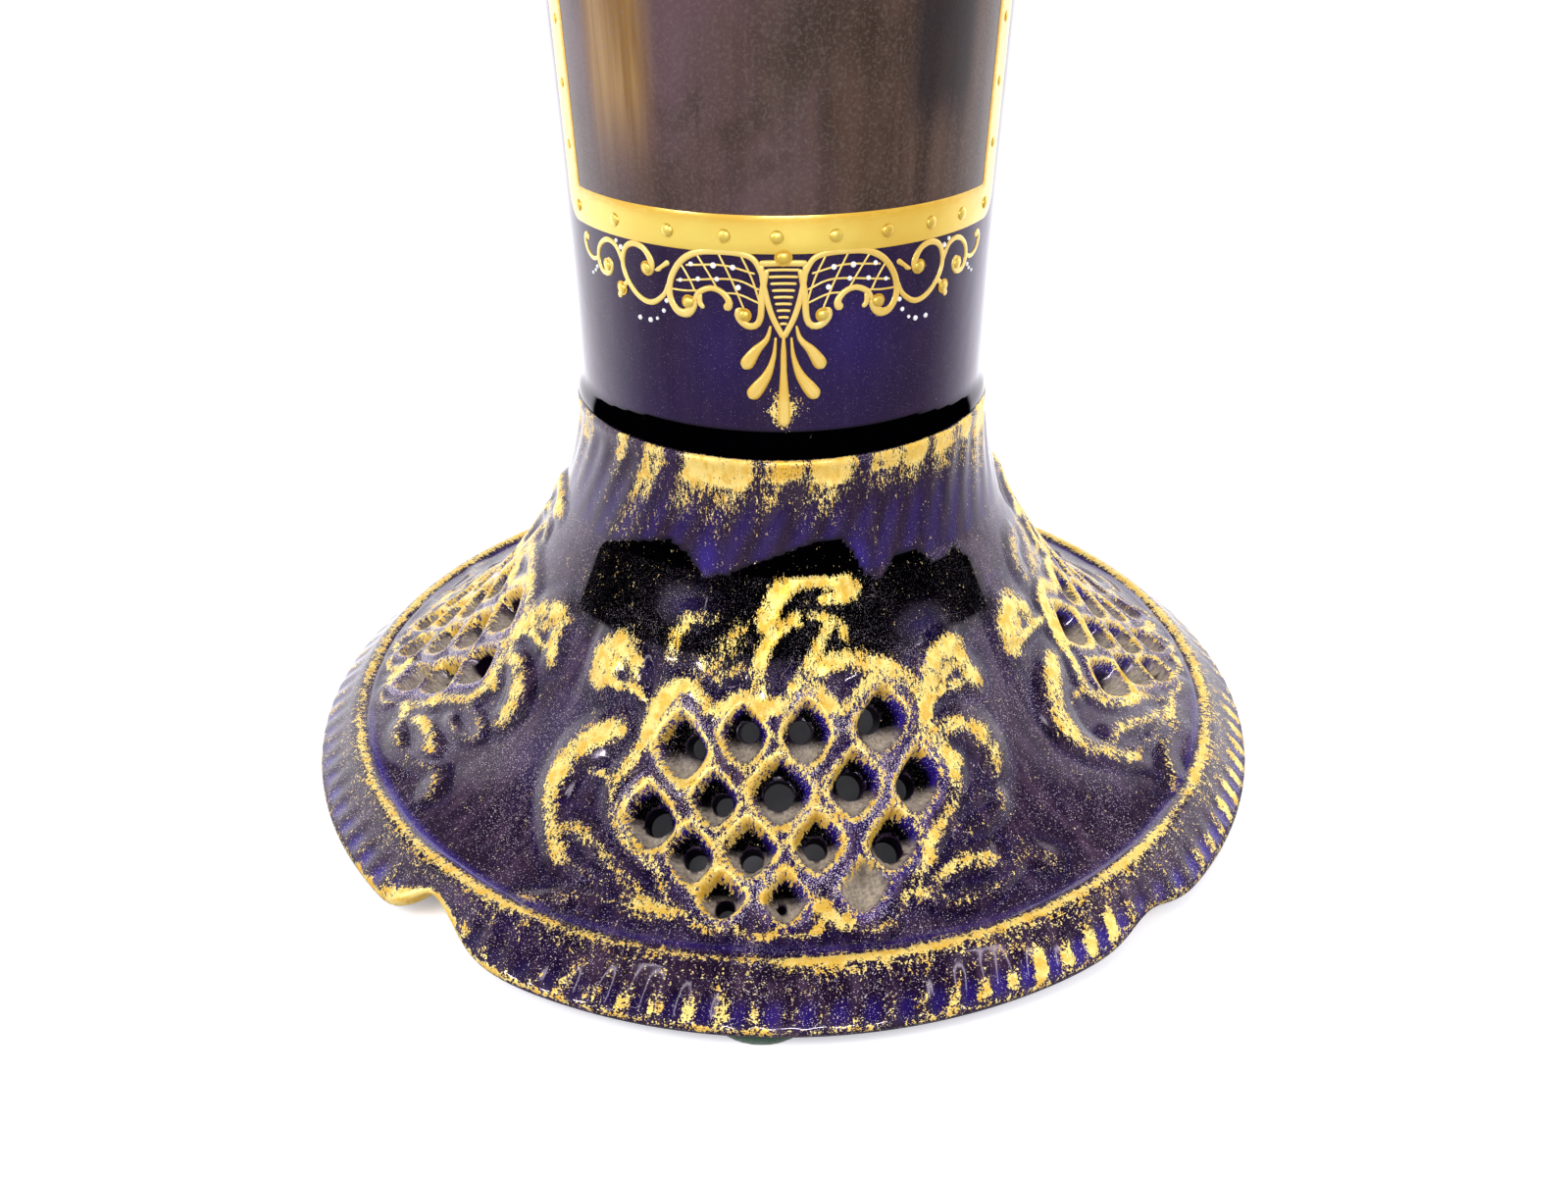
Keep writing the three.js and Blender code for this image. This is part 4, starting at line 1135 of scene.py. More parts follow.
class BodyProfile:
    """The body's outline, for its own mesh and for what is painted on it."""

    def __init__(self, body, foot):
        skirt, waist, shoulder = body.skirt_radius, body.waist_radius, body.shoulder_radius
        neck, mouth = body.neck_radius, body.mouth_radius
        base = foot.collar_height + foot.lip_thickness + 0.25 * MM
        waist_at = base + body.cove
        shoulder_at = body.shoulder_height
        neck_at = shoulder_at + body.neck_rise
        mouth_at = neck_at + body.mouth_rise - body.wall - 0.6 * MM
        tube = shoulder_at - waist_at
        sink = body.neck_rise / 2
        flare = mouth_at - neck_at
        spans = (
            ((skirt, base), (skirt - 0.05 * MM, base + 0.4 * body.cove),
             (waist - 0.1 * MM, base + 0.45 * body.cove), (waist, waist_at), 14),
            ((waist, waist_at), (waist, waist_at + tube / 4),
             (shoulder, shoulder_at - tube / 3), (shoulder, shoulder_at), 60),
            ((shoulder, shoulder_at), (shoulder, shoulder_at + sink),
             (neck, neck_at - sink), (neck, neck_at), 30),
            ((neck, neck_at), (neck, neck_at + flare / 2),
             (mouth - (mouth - neck) / 2, mouth_at - flare / 6), (mouth, mouth_at), 44),
        )
        spigot = [(body.spigot_radius, body.bottom), (body.spigot_radius, base), (skirt, base)]
        self.outline = np.vstack([spigot] + [bezier(*span) for span in spans])
        self.base = base
        self.waist_height = waist_at
        self.neck_height = neck_at

    def radius(self, height):
        radii, heights = self.outline[2:].T
        return np.interp(height, heights, radii)

    def hollow(self, wall):
        """The inner wall's outline, from the rounded edge of the mouth down."""
        outline = self.outline
        tangent = slope_unit(outline)
        inside = outline + np.column_stack([-tangent[:, 1], tangent[:, 0]]) * wall
        start = int(np.argmax(outline[:, 1] > self.waist_height + HOLLOW_START))
        inside = inside[start:][::-2]
        middle = (outline[-1] + inside[0]) / 2
        turn = np.linspace(-math.pi / 2, math.pi / 2, 7)[1:-1]
        normal = (inside[0] - outline[-1]) / np.linalg.norm(inside[0] - outline[-1])
        rounding = np.outer(np.sin(turn), normal) + np.outer(np.cos(turn), tangent[-1])
        return np.vstack([middle + rounding * wall / 2, inside])

    def wrap(self, azimuth, height, lift):
        """Points on the body's skin, standing proud by lift."""
        height = np.asarray(height, float)
        nudge = 0.5 * MM
        slope = (self.radius(height + nudge) - self.radius(height - nudge)) / (2 * nudge)
        norm = np.sqrt(1 + slope**2)
        return place(azimuth, self.radius(height) + lift / norm, height - lift * slope / norm)


# How much haze and how many specks the body's glaze has, and how far its gilding is held back
BODY_SOIL = 0.2
BODY_BARE = 0.3

MOUTH_FLUTES = 64


def mouth_ring(body, profile, azimuth, height, patches):
    """The share of the way from neck to mouth, how far the notches bite, and the gilding of the edge."""
    share = np.clip((height - profile.neck_height) / body.mouth_rise, 0, 1)
    edge = smoothstep(0.93, 0.97, share) * (0.7 + 0.3 * patches)
    return share, body.mouth_notch * share**3 * notch(azimuth), edge


def blue_clouds(azimuth, height):
    """Blue pools of the body's glaze."""
    waves = np.sin(3 * azimuth + height / (17 * MM)) * np.cos(4 * azimuth - height / (13 * MM) + 1)
    left = bell(np.degrees(azimuth), -15, 9) * bell(height / MM, 75, 8)
    right = bell(np.degrees(azimuth), 17, 13) * bell(height / MM, 77, 7)
    return np.clip(0.03 + 0.06 * (0.5 + 0.5 * waves) ** 2 + 0.15 * left + 0.17 * right, 0, 1)


def outer_ring(body, profile, azimuth, height, patches):
    """How far a ring of the body's outside is drawn in, and what its glaze needs to know."""
    share, pull, edge = mouth_ring(body, profile, azimuth, height, patches)
    zone = smoothstep(0.80, 0.86, share) * (1 - smoothstep(0.90, 0.95, share))
    rib = (0.5 + 0.5 * np.cos(MOUTH_FLUTES * azimuth)) ** 0.8
    ribs = zone * smoothstep(0.45, 0.95, rib) * (0.3 + 0.6 * patches)
    line = np.full(azimuth.shape, 0.95 * bell(share, 0.775, 0.012))
    neck = 0.85 * bell(height, profile.neck_height, 1.6 * MM) * (0.6 + 0.4 * patches)
    spatter = 1.45 * bell(height, 66.5 * MM, 2.6 * MM) * bell(np.degrees(azimuth), 0.6, 4.6)
    # Painted shade: the cove above the collar is painted near black, to a lower line and a little weaker
    # towards the sides.
    facing = np.abs(degrees_from_middle(azimuth))
    top = 0.97 - 0.32 * smoothstep(30, 62, facing)
    shaded = smoothstep(top + 0.04, top - 0.04, (height - profile.base) / body.cove)
    numbers = {
        "gilt": np.maximum.reduce([edge, ribs, line, neck, spatter]) - BODY_BARE,
        "night": shaded * (0.86 + 0.14 * smoothstep(66, 58, facing)),
        "pool": blue_clouds(azimuth, height),
    }
    return pull + 0.5 * MM * zone * (1 - rib), numbers


class VASE_OT_body(bpy.types.Operator):
    """Model the tall porcelain body with its neck and lobed, fluted mouth"""

    bl_idname = "vase.body"
    bl_label = "Body"

    def execute(self, context):
        scene = context.scene
        body, foot = scene.vase_body, scene.vase_foot
        profile = BodyProfile(body, foot)
        skin = Skin()
        azimuth = full_turn(384)
        random = np.random.default_rng(BODY_SEED)
        patches = ripple_ring(azimuth, random, 7, 2, 19)
        for radius, height in profile.outline:
            pull, numbers = outer_ring(body, profile, azimuth, height, patches)
            skin.add(azimuth, radius - pull, height, soil=BODY_SOIL, **numbers)
        for radius, height in profile.hollow(body.wall):
            _, pull, edge = mouth_ring(body, profile, azimuth, height, patches)
            pool = blue_clouds(azimuth, height)
            skin.add(azimuth, radius - pull, height, soil=BODY_SOIL, gilt=edge - BODY_BARE, pool=pool)
        inner = body.spigot_radius - body.wall
        floor = body.bottom + body.floor
        around = full_turn(96)
        hole = foot.bolt_hole
        floor_rings = ((inner, profile.waist_height), (inner, floor), (hole, floor), (hole, body.bottom))
        for radius, height in floor_rings:
            skin.add(around, radius, height, soil=BODY_SOIL)
        piece, points = skin.glazed("porcelain_body", scene.vase_glaze)
        add_vector(piece, "flow", points)
        piece.data.set_sharp_from_angle(angle=math.radians(55))
        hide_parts("body")
        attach(piece, "root")
        return {"FINISHED"}


# Section of a brush stroke: share of its half width, share of its lift (None is under the skin), wear
STROKE_SECTION = (
    (-1, 0.0, 1.0), (-0.8, 0.75, 0.9), (-0.4, 0.97, 0.0), (0, 1.0, 0.25), (0.4, 0.97, 0.0), (0.8, 0.75, 0.9),
    (1, 0.0, 1.0), (1, None, 1.0), (-1, None, 1.0),
)


# Spacing of a stroke's sections, and how far strokes and beads reach under the body's skin
STROKE_STEP = 0.35 * MM
STROKE_SINK = 0.12 * MM
BEAD_SINK = 0.15 * MM


class Painter:
    """Collects raised strokes, dots and beads that lie on the body, as closed bodies in one mesh."""

    def __init__(self, profile):
        self.profile = profile
        self.points = []
        self.faces = []
        self.deep = []
        self.count = 0

    def add(self, points, faces, deep=0.0):
        self.faces.extend([[i + self.count for i in face] for face in faces])
        self.points.append(points)
        self.deep.append(np.broadcast_to(deep, len(points)))
        self.count += len(points)

    def flat(self, degrees, height):
        """A given point as distances across and up the unrolled body."""
        return np.array([math.radians(degrees) * float(self.profile.radius(height)), height])

    def on_body(self, across, height, lift):
        return self.profile.wrap(across / self.profile.radius(height), height, lift)

    def stroke(self, path, width, lift=0.16 * MM, outline=0.0):
        """A brush stroke along (degrees, height in mm), domed, with round ends; width may vary along it."""
        flat = smooth_path([self.flat(a, h * MM) for a, h in path], 7)
        reached = np.concatenate([[0], np.cumsum(np.linalg.norm(np.diff(flat, axis=0), axis=1))])
        total = reached[-1]
        turn = np.linspace(0, math.pi, max(12, int(total / STROKE_STEP)))
        steps = total * (1 - np.cos(turn)) / 2
        flat = np.column_stack([np.interp(steps, reached, column) for column in flat.T])
        tangent = slope_unit(flat)
        side = np.column_stack([-tangent[:, 1], tangent[:, 0]])
        widths = np.atleast_1d(width)
        half = np.interp(steps / total, np.linspace(0, 1, len(widths)), widths) / 2
        to_end = np.minimum(steps, total - steps)
        end = np.where(steps < total / 2, widths[0], widths[-1]) / 2
        rounding = np.sqrt(np.clip(1 - np.clip(1 - to_end / end, 0, 1) ** 2, 0.0, 1))
        side = side * (half * np.maximum(rounding, 0.12))[:, None]
        dome = lift * np.maximum(rounding, 0.3)
        rows = []
        for across, share, _ in STROKE_SECTION:
            spot = flat + side * across
            rows.append(self.on_body(*spot.T, -STROKE_SINK if share is None else dome * share))
        section = len(rows)
        points = np.stack(rows, axis=1).reshape(-1, 3)
        faces = turned_over(band_faces(len(flat), section))
        faces.append(list(range(section)))
        faces.append(list(range(len(points) - section, len(points)))[::-1])
        worn = outline * np.array([shade for *_, shade in STROKE_SECTION])
        self.add(points, faces, np.tile(worn, len(flat)))

    def bead(self, degrees, height_mm, radius, rise, ringed=True):
        """A low dome seated on the body, with a worn ring round its foot."""
        centre = self.flat(degrees, height_mm * MM)
        sides = 20
        turn = circle(sides)
        levels = [(1.32, 0.3), (1.16, 0.34), (1.0, 0.3)] if ringed else [(1.0, 0.0)]
        levels += [(math.cos(tilt), 0.3 + 0.7 * math.sin(tilt)) for tilt in np.radians([15, 35, 55, 75])]
        rows = []
        for share, lift in levels:
            spot = centre + share * radius * np.column_stack([np.cos(turn), np.sin(turn)])
            rows.append(self.on_body(*spot.T, rise * lift))
        points = np.vstack(rows + [self.on_body(*centre, rise), self.on_body(*centre, -BEAD_SINK)])
        faces = band_faces(len(levels), sides)
        end = len(levels) * sides
        for i in range(sides):
            k = (i + 1) % sides
            faces.append([end - sides + i, end - sides + k, end])
            faces.append([k, i, end + 1])
        worn = np.arange(len(points)) < (4 * sides if ringed else 0)
        self.add(points, faces, worn.astype(float))

    def finish(self, name, material):
        """Makes one mesh of all that was painted."""
        piece = mesh_object(name, np.vstack(self.points), self.faces, material, sharp=60)
        add_number(piece, "deep", np.concatenate(self.deep))
        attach(piece, "root")


def rounded_outline(half_width, low, high, radius):
    """Points round a rectangle with rounded corners, from the start of its lower right corner."""
    per_corner, per_side = 10, 40
    right, top, bottom = half_width - radius, high - radius, low + radius
    corners = ((right, bottom, -90), (right, top, 0), (-right, top, 90), (-right, bottom, 180))
    arcs = []
    for x, y, start in corners:
        turn = np.radians(np.linspace(start, start + 90, per_corner))
        arcs.append(np.column_stack([x + radius * np.cos(turn), y + radius * np.sin(turn)]))
    points = []
    share = (np.arange(1, per_side) / per_side)[:, None]
    for arc, following in zip(arcs, arcs[1:] + arcs[:1]):
        points.extend([arc, arc[-1] + (following[0] - arc[-1]) * share])
    return np.vstack(points)


# Section of the frame band: share of its width, lift in millimetres, wear
BAND_SECTION = (
    (0, -0.12, 0.5), (0, 0.08, 0.5), (0.06, 0.16, 0.1), (0.3, 0.18, 0.0), (0.55, 0.18, 0.0),
    (0.72, 0.18, 0.15), (0.86, 0.18, 0.6), (0.95, 0.16, 0.9), (1, 0.08, 1), (1, -0.12, 1),
)

# Radii of the frame band's corners, outside and inside
OUTER_CORNER = 3.2 * MM
INNER_CORNER = 0.5 * MM

# Height of the raised beads, and share of their radius that the smaller ones have
BEAD_RISE = 0.5 * MM
SMALL_BEAD = 0.85

# Azimuths in degrees of the beads on the frame's lower side, and their spacing on its upright sides in mm
BEAD_PLACES = (-61.5, -44.3, -27.8, -13.4, -1.0, 12.8, 25.7, 38.5, 50.0, 62.5)
BEAD_SPACING = 7.5

# Azimuth in degrees of the scrollwork's middle
SCROLL_MIDDLE = 0.5


class VASE_OT_frame_band(bpy.types.Operator):
    """Lay the gilt frame band round the painted panel, with its raised beads"""

    bl_idname = "vase.frame_band"
    bl_label = "Frame band"

    def execute(self, context):
        scene = context.scene
        gilt = scene.vase_gilt
        profile = BodyProfile(scene.vase_body, scene.vase_foot)
        painter = Painter(profile)
        width = gilt.band_width
        low, high = gilt.band_low, gilt.band_high
        mid_radius = float(profile.radius((low + high) / 2))
        half = gilt.band_reach * mid_radius
        outer = rounded_outline(half, low, high, OUTER_CORNER)
        inner = rounded_outline(half - width, low + width, high - width, INNER_CORNER)
        rows = []
        for share, lift, _ in BAND_SECTION:
            spot = outer + (inner - outer) * share
            rows.append(profile.wrap(spot[:, 0] / mid_radius, spot[:, 1], lift * MM))
        worn = np.repeat([wear for *_, wear in BAND_SECTION], len(outer))
        painter.add(np.vstack(rows), band_faces(len(rows), len(outer), wrap=True), worn)
        glaze = scene.vase_glaze
        painter.finish("gilt_frame_band", brushed_gilding("frame gilding", glaze.gold_frame, glaze.gold_deep))

        beads = Painter(profile)
        height = (low + width * 0.45) / MM
        for degrees in BEAD_PLACES:
            beads.bead(degrees, height, gilt.bead_radius, BEAD_RISE)
            beads.bead(-degrees, (high - width * 0.45) / MM, gilt.bead_radius, BEAD_RISE)
        side = math.degrees((half - width / 2) / mid_radius)
        steps = int((high - low - 2 * width) / MM / BEAD_SPACING)
        for step in range(1, steps + 1):
            for sign in (-1, 1):
                beads.bead(sign * side, height + BEAD_SPACING * step, gilt.bead_radius * SMALL_BEAD, 0.4 * MM)
        beads.bead(SCROLL_MIDDLE, low / MM - 0.4, gilt.bead_radius, BEAD_RISE)
        beads.finish("gilt_beads", brushed_gilding("bead gilding", glaze.gold_frame, glaze.gold_deep, 0.6))
        return {"FINISHED"}


# How far the painted ground reaches under the frame band, and its faces' height above the skin in mm
TUCK = 0.6 * MM
GROUND_FACES = (0.05, -0.15)


class VASE_OT_painted_panel(bpy.types.Operator):
    """Paint the umber ground inside the gilt frame"""

    bl_idname = "vase.painted_panel"
    bl_label = "Painted panel"

    def execute(self, context):
        scene = context.scene
        gilt = scene.vase_gilt
        profile = BodyProfile(scene.vase_body, scene.vase_foot)
        mid_radius = float(profile.radius((gilt.band_low + gilt.band_high) / 2))
        half = gilt.band_reach * mid_radius - gilt.band_width + TUCK
        low = gilt.band_low + gilt.band_width - TUCK
        high = gilt.band_high - gilt.band_width + TUCK
        across, up = np.meshgrid(np.linspace(-half, half, 61), np.linspace(low, high, 101))
        turn = across / mid_radius
        skins = [profile.wrap(turn, up, lift * MM).reshape(-1, 3) for lift in GROUND_FACES]
        size = across.size
        index = np.arange(size).reshape(across.shape)
        corners = (index[:-1, :-1], index[:-1, 1:], index[1:, 1:], index[1:, :-1])
        front = np.stack(corners, axis=-1)
        back = size + front[..., [0, 3, 2, 1]]
        edge = np.concatenate([index[0], index[1:, -1], index[-1, -2::-1], index[-2:0:-1, 0]])
        after = np.roll(edge, -1)
        walls = np.stack([edge, size + edge, size + after, after], axis=1)
        faces = np.vstack([np.stack([front, back], axis=2).reshape(-1, 4), walls]).tolist()
        piece = mesh_object("painted_panel", np.vstack(skins), faces, painted_ground(), sharp=40)
        degrees = np.degrees(turn).ravel()
        height = up.ravel() / MM
        left = smoothstep(-52, -47, degrees) * (1 - smoothstep(-36, -27, degrees))
        warm = left * smoothstep(92, 108, height) * (1 - 0.5 * smoothstep(150, 200, height))
        right = smoothstep(28, 33, degrees) * (1 - smoothstep(47, 52, degrees))
        add_number(piece, "warm", np.tile(warm, 2))
        add_number(piece, "dark", np.tile(right * smoothstep(98, 106, height) * 0.8, 2))
        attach(piece, "root")
        return {"FINISHED"}


# Millimetres between a height in the tables of the scrollwork and the height above the table
SCROLL_DROP = 19.6


def scroll_points(path, mirror=1):
    """Points of the scrollwork in degrees and height above the table, mirrored when asked."""
    return [(SCROLL_MIDDLE + mirror * (a - SCROLL_MIDDLE), h - SCROLL_DROP) for a, h in path]


# Scrollwork under the frame: (degrees, height in mm) paths and a width in mm; mirrored ones are listed once
SCROLLS = (
    # large shells beside the spearhead
    (((-3.4, 104.6), (-4.6, 101.5), (-5.0, 98.6), (-6.2, 97.4), (-8.6, 97.4), (-10.2, 98.5), (-9.6, 99.6)),
      0.95),
    (((-4.2, 103.4), (-6.2, 105.6), (-9, 106.4), (-14, 106.6), (-20, 106.3), (-24.5, 105.0),
      (-27.6, 102.6), (-28.2, 100.2), (-26.4, 98.5), (-23.6, 98.3), (-22.0, 99.6), (-23.2, 100.3)), 0.95),
    (((-21.6, 100.0), (-20.2, 101.2), (-17, 101.9), (-14.2, 101.4), (-12.6, 100.2), (-13.6, 99.2)), 0.85),
    (((-19.0, 99.2), (-20.0, 99.8), (-20.2, 101.1)), 0.8),
    # side scrolls
    (((-28.4, 101.8), (-30, 100.2), (-33.6, 98.9), (-37.4, 99.2), (-41, 100.8), (-42.8, 103),
      (-41.6, 105.2), (-38.4, 106.1), (-35, 105.6), (-33.2, 104.0), (-34.4, 102.8), (-35.6, 103.8)), 0.85),
    (((-30.2, 103.6), (-31.8, 103.2), (-28.0, 104.6)), 0.6),
    (((-41.2, 101.0), (-43.4, 99.9), (-45.2, 98.4)), 0.8),
    (((-42.8, 103.2), (-45, 105.2), (-48.6, 105.6), (-52, 104.4), (-53, 102.6), (-51.6, 101.2),
      (-48.8, 101.2), (-47.6, 102.4), (-49.2, 103.0)), 0.8),
    (((-53, 102.8), (-55.6, 102.3), (-58.4, 102.9), (-59.8, 104.2), (-58.8, 105.2), (-57.4, 104.6)), 0.7),
)

# Beads on the scrolls, thin lines of the lattice, and white dots with their share of the full size
SCROLL_BEADS = ((-9.0, 98.7), (-23.0, 99.8), (-34.6, 103.3), (-43.6, 99.8), (-48.8, 102.2))
LATTICE_LINES = (
    ((-6.2, 104.0), (-14, 104.9), (-23.4, 104.5)),
    ((-5.2, 102.0), (-12, 103.2), (-26.2, 102.4)),
    ((-5.0, 100.2), (-10, 101.3), (-13.4, 101.4)),
    ((-20.6, 101.4), (-24, 101.2), (-27.6, 101.2)),
    ((-9.5, 106.2), (-7.0, 103.4), (-5.2, 100.4)),
    ((-15.0, 106.4), (-12.0, 103.2), (-9.6, 100.2), (-9.0, 99.4)),
    ((-20.4, 106.0), (-17.4, 103.6), (-15.4, 101.8)),
    ((-24.8, 104.6), (-22.6, 102.8), (-21.2, 101.2)),
)
WHITE_DOTS = (
    (-22, 104.7, 1.0), (-16.3, 104.8, 1.35), (-11.5, 104.7, 1.25), (-25, 102.5, 0.8), (-20.3, 102.9, 1.0),
    (-15.5, 103.1, 1.0), (-10.3, 102.2, 1.2), (-43.0, 105.2, 1.2), (-44.6, 105.9, 0.8),
    (-29.2, 99.5, 1.0), (-30.2, 98.1, 0.9), (-32.3, 96.9, 0.6), (-34.5, 96.5, 1.2), (-37.9, 96.5, 1.1),
    (-54.0, 101.4, 0.9), (-55.0, 100.8, 0.7), (-56.6, 100.3, 0.6),
)

# Leaves of the palmette, the stem between them and the spearhead above: paths, and widths in mm along a leaf
PALMETTE = (
    (((-2.6, 97.4), (-3.6, 95.6), (-6.4, 94.0), (-9.4, 91.6)), (0.3, 0.6, 0.9, 1.35, 1.75, 1.8)),
    (((-1.4, 95.9), (-1.9, 93.4), (-3.4, 91.0), (-5.4, 89.4), (-8.0, 87.6)), (0.3, 0.5, 0.8, 1.3, 1.8, 1.9)),
)
STEM = (((0.5, 96.4), (0.5, 91), (0.6, 86.8), (0.6, 83.8)), (0.3, 0.75, 0.85, 1.2, 1.6, 1.7))
SPEARHEAD = ((-4.9, 105.2), (-4.0, 102), (-2.2, 98.6), (0.5, 95.8))
SPEAR_TOP = ((-5.2, 105.3), (0.5, 105.4), (6.2, 105.3))

# Rungs of the spearhead: count, height and spacing in mm, half length of the top one in degrees, their taper
RUNGS = 9
RUNG_TOP = 104.5
RUNG_SPACING = 0.86
RUNG_REACH = 3.9
RUNG_TAPER = 10.5

# A scroll's widths along its path, lift of thin lines and of leaves, and wear of the leaves' edges
SCROLL_WIDTHS = (0.75, 1, 1, 1, 1.15, 1.7)
LINE_LIFT = 0.1 * MM
LEAF_LIFT = 0.2 * MM
LEAF_WEAR = 0.8


class VASE_OT_scrollwork(bpy.types.Operator):
    """Paint the gilt scrollwork, its fine lattice and enamel dots under the frame, and the palmette"""

    bl_idname = "vase.scrollwork"
    bl_label = "Scrollwork"

    def execute(self, context):
        scene = context.scene
        gilt = scene.vase_gilt
        profile = BodyProfile(scene.vase_body, scene.vase_foot)
        lines, beads, dots = Painter(profile), Painter(profile), Painter(profile)
        for mirror in (1, -1):
            for path, width in SCROLLS:
                thick = 0.9 * width * MM
                widths = [share * thick for share in SCROLL_WIDTHS]
                lines.stroke(scroll_points(path, mirror), widths, outline=0.25)
            for path in LATTICE_LINES:
                lines.stroke(scroll_points(path, mirror), 0.27 * MM, LINE_LIFT)
            for path, widths in PALMETTE:
                leaf = scroll_points(path, mirror)
                lines.stroke(leaf, [width * MM for width in widths], LEAF_LIFT, outline=LEAF_WEAR)
            for spot in scroll_points(SCROLL_BEADS, mirror):
                beads.bead(*spot, gilt.bead_radius * SMALL_BEAD, 0.42 * MM)
            for *spot, share in WHITE_DOTS:
                radius = gilt.dot_radius * (0.4 + 0.6 * share)
                dots.bead(*scroll_points([spot], mirror)[0], radius, 0.22 * MM, ringed=False)
            lines.stroke(scroll_points(SPEARHEAD, mirror), 0.75 * MM)
        lines.stroke(scroll_points(SPEAR_TOP), 0.8 * MM)
        for index in range(RUNGS):
            height = RUNG_TOP - index * RUNG_SPACING
            reach = RUNG_REACH * (1 - index / RUNG_TAPER)
            rung = ((-reach, height), (0, height + 0.05), (reach, height))
            lines.stroke(scroll_points([(SCROLL_MIDDLE + a, h) for a, h in rung]), 0.36 * MM, LINE_LIFT)
        path, widths = STEM
        lines.stroke(scroll_points(path), [width * MM for width in widths], LEAF_LIFT, outline=LEAF_WEAR)
        glaze = scene.vase_glaze
        lines.finish("gilt_scrollwork", brushed_gilding("scroll gilding", glaze.gold_bright, glaze.gold_deep))
        bead_gilding = brushed_gilding("scroll bead gilding", glaze.gold_frame, glaze.gold_deep, 0.6)
        beads.finish("scroll_beads", bead_gilding)
        dots.finish("enamel_dots", white_enamel())
        return {"FINISHED"}


class VASE_OT_fixings(bpy.types.Operator):
    """Finish the tie bolt, nut, washers, seals and gasket"""

    bl_idname = "vase.fixings"
    bl_label = "Fixings"

    def execute(self, context):
        brass = fixing_metal("bolt brass", (0.66, 0.46, 0.17), (0.36, 0.23, 0.08), 0.3)
        steel = fixing_metal("washer steel", (0.58, 0.58, 0.6), (0.33, 0.32, 0.32), 0.35)
        rubber = seal_rubber()
        finishes = (
            (brass, ("tie_bolt", "bolt_nut")),
            (steel, ("head_washer", "nut_washer")),
            (rubber, ("head_seal", "nut_seal", "seat_gasket")),
        )
        for material, nodes in finishes:
            for node in nodes:
                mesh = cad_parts[node].data
                mesh.materials.clear()
                mesh.materials.append(material)
        return {"FINISHED"}


# Section of a felt pad: share of its height, and inset in millimetres
PAD_SECTION = ((0.0, 0.35), (0.12, 0.08), (0.5, 0.0), (0.88, 0.08), (1.0, 0.35))
PAD_FRAY = 0.06 * MM


class VASE_OT_felt_pads(bpy.types.Operator):
    """Model the round felt pads under the foot"""

    bl_idname = "vase.felt_pads"
    bl_label = "Felt pads"

    def execute(self, context):
        felt = pressed_felt()
        random = np.random.default_rng(PAD_SEED)
        for side in ("front", "right", "back", "left"):
            node = f"felt_pad_{side}"
            low, high = (np.array(corner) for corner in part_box(node))
            centre = (low + high) / 2
            radius = (high[0] - low[0]) / 2
            count = 96
            turn = circle(count)
            fray = PAD_FRAY * random.random(count)
            rings = []
            for share, inset in PAD_SECTION:
                reach = radius - inset * MM - fray
                height = np.full(count, low[2] + (high[2] - low[2]) * share)
                x, y = centre[0] + reach * np.cos(turn), centre[1] + reach * np.sin(turn)
                rings.append(np.column_stack([x, y, height]))
            top = (len(rings) - 1) * count
            faces = [list(range(count))[::-1], list(range(top, top + count)), *band_faces(len(rings), count)]
            piece = mesh_object(f"felt_disc_{side}", np.vstack(rings), faces, felt, sharp=50)
            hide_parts(node)
            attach(piece, "root")
        return {"FINISHED"}


# Floor round the foot's outline: millimetres outside it, and how open to the light it is
FLOOR_STEPS = (
    (-30, -0.8), (-9, -0.8), (-6.5, 0), (-4.2, 0.35), (-2.9, 0.62), (-1.6, 0.8), (-0.2, 1), (10, 1),
    (3000, 1),
)

# Lamps: name, place, width and height in metres, watts, and whether they are mirrored instead of lighting
LAMPS = (
    ("key", (-0.75, -0.55, 0.95), 0.5, 0.5, 10.0, False),
    ("fill", (0.95, -0.35, 0.7), 0.7, 0.7, 7.0, False),
    ("top", (0.1, 0.3, 1.3), 0.6, 0.6, 7.0, False),
    ("left glint", (-0.55, -0.75, 0.9), 0.04, 0.4, 0.6, True),
    ("right glint", (0.7, -0.55, 0.85), 0.04, 0.3, 0.5, True),
    ("low glint", (0.05, -0.95, 0.28), 0.4, 0.02, 4.5, True),
    ("low left glint", (-0.7, -0.6, 0.25), 0.2, 0.016, 2.2, True),
)

LAMP_AIM = Vector((0, 0, 0.05))
SENSOR_MM = 36.0


class StageSettings(bpy.types.PropertyGroup):
    camera_distance: length("Camera distance", "How far before the vase's axis the camera stands", 192.29)
    camera_height: length("Camera height", "Height of the camera above the table", 134.21)
    camera_pitch: angle("Camera pitch", "How far the camera looks down", math.radians(30.1085))
    camera_roll: angle("Camera roll", "Turn of the camera about its view", 0.00409)
    focal_pixels: number("Focal length", "Focal length in pixels of the photo's width", 1380.0)
    centre_shift: number("Centre shift", "Pixels by which the vase's axis lies left of the centre", 4.47)


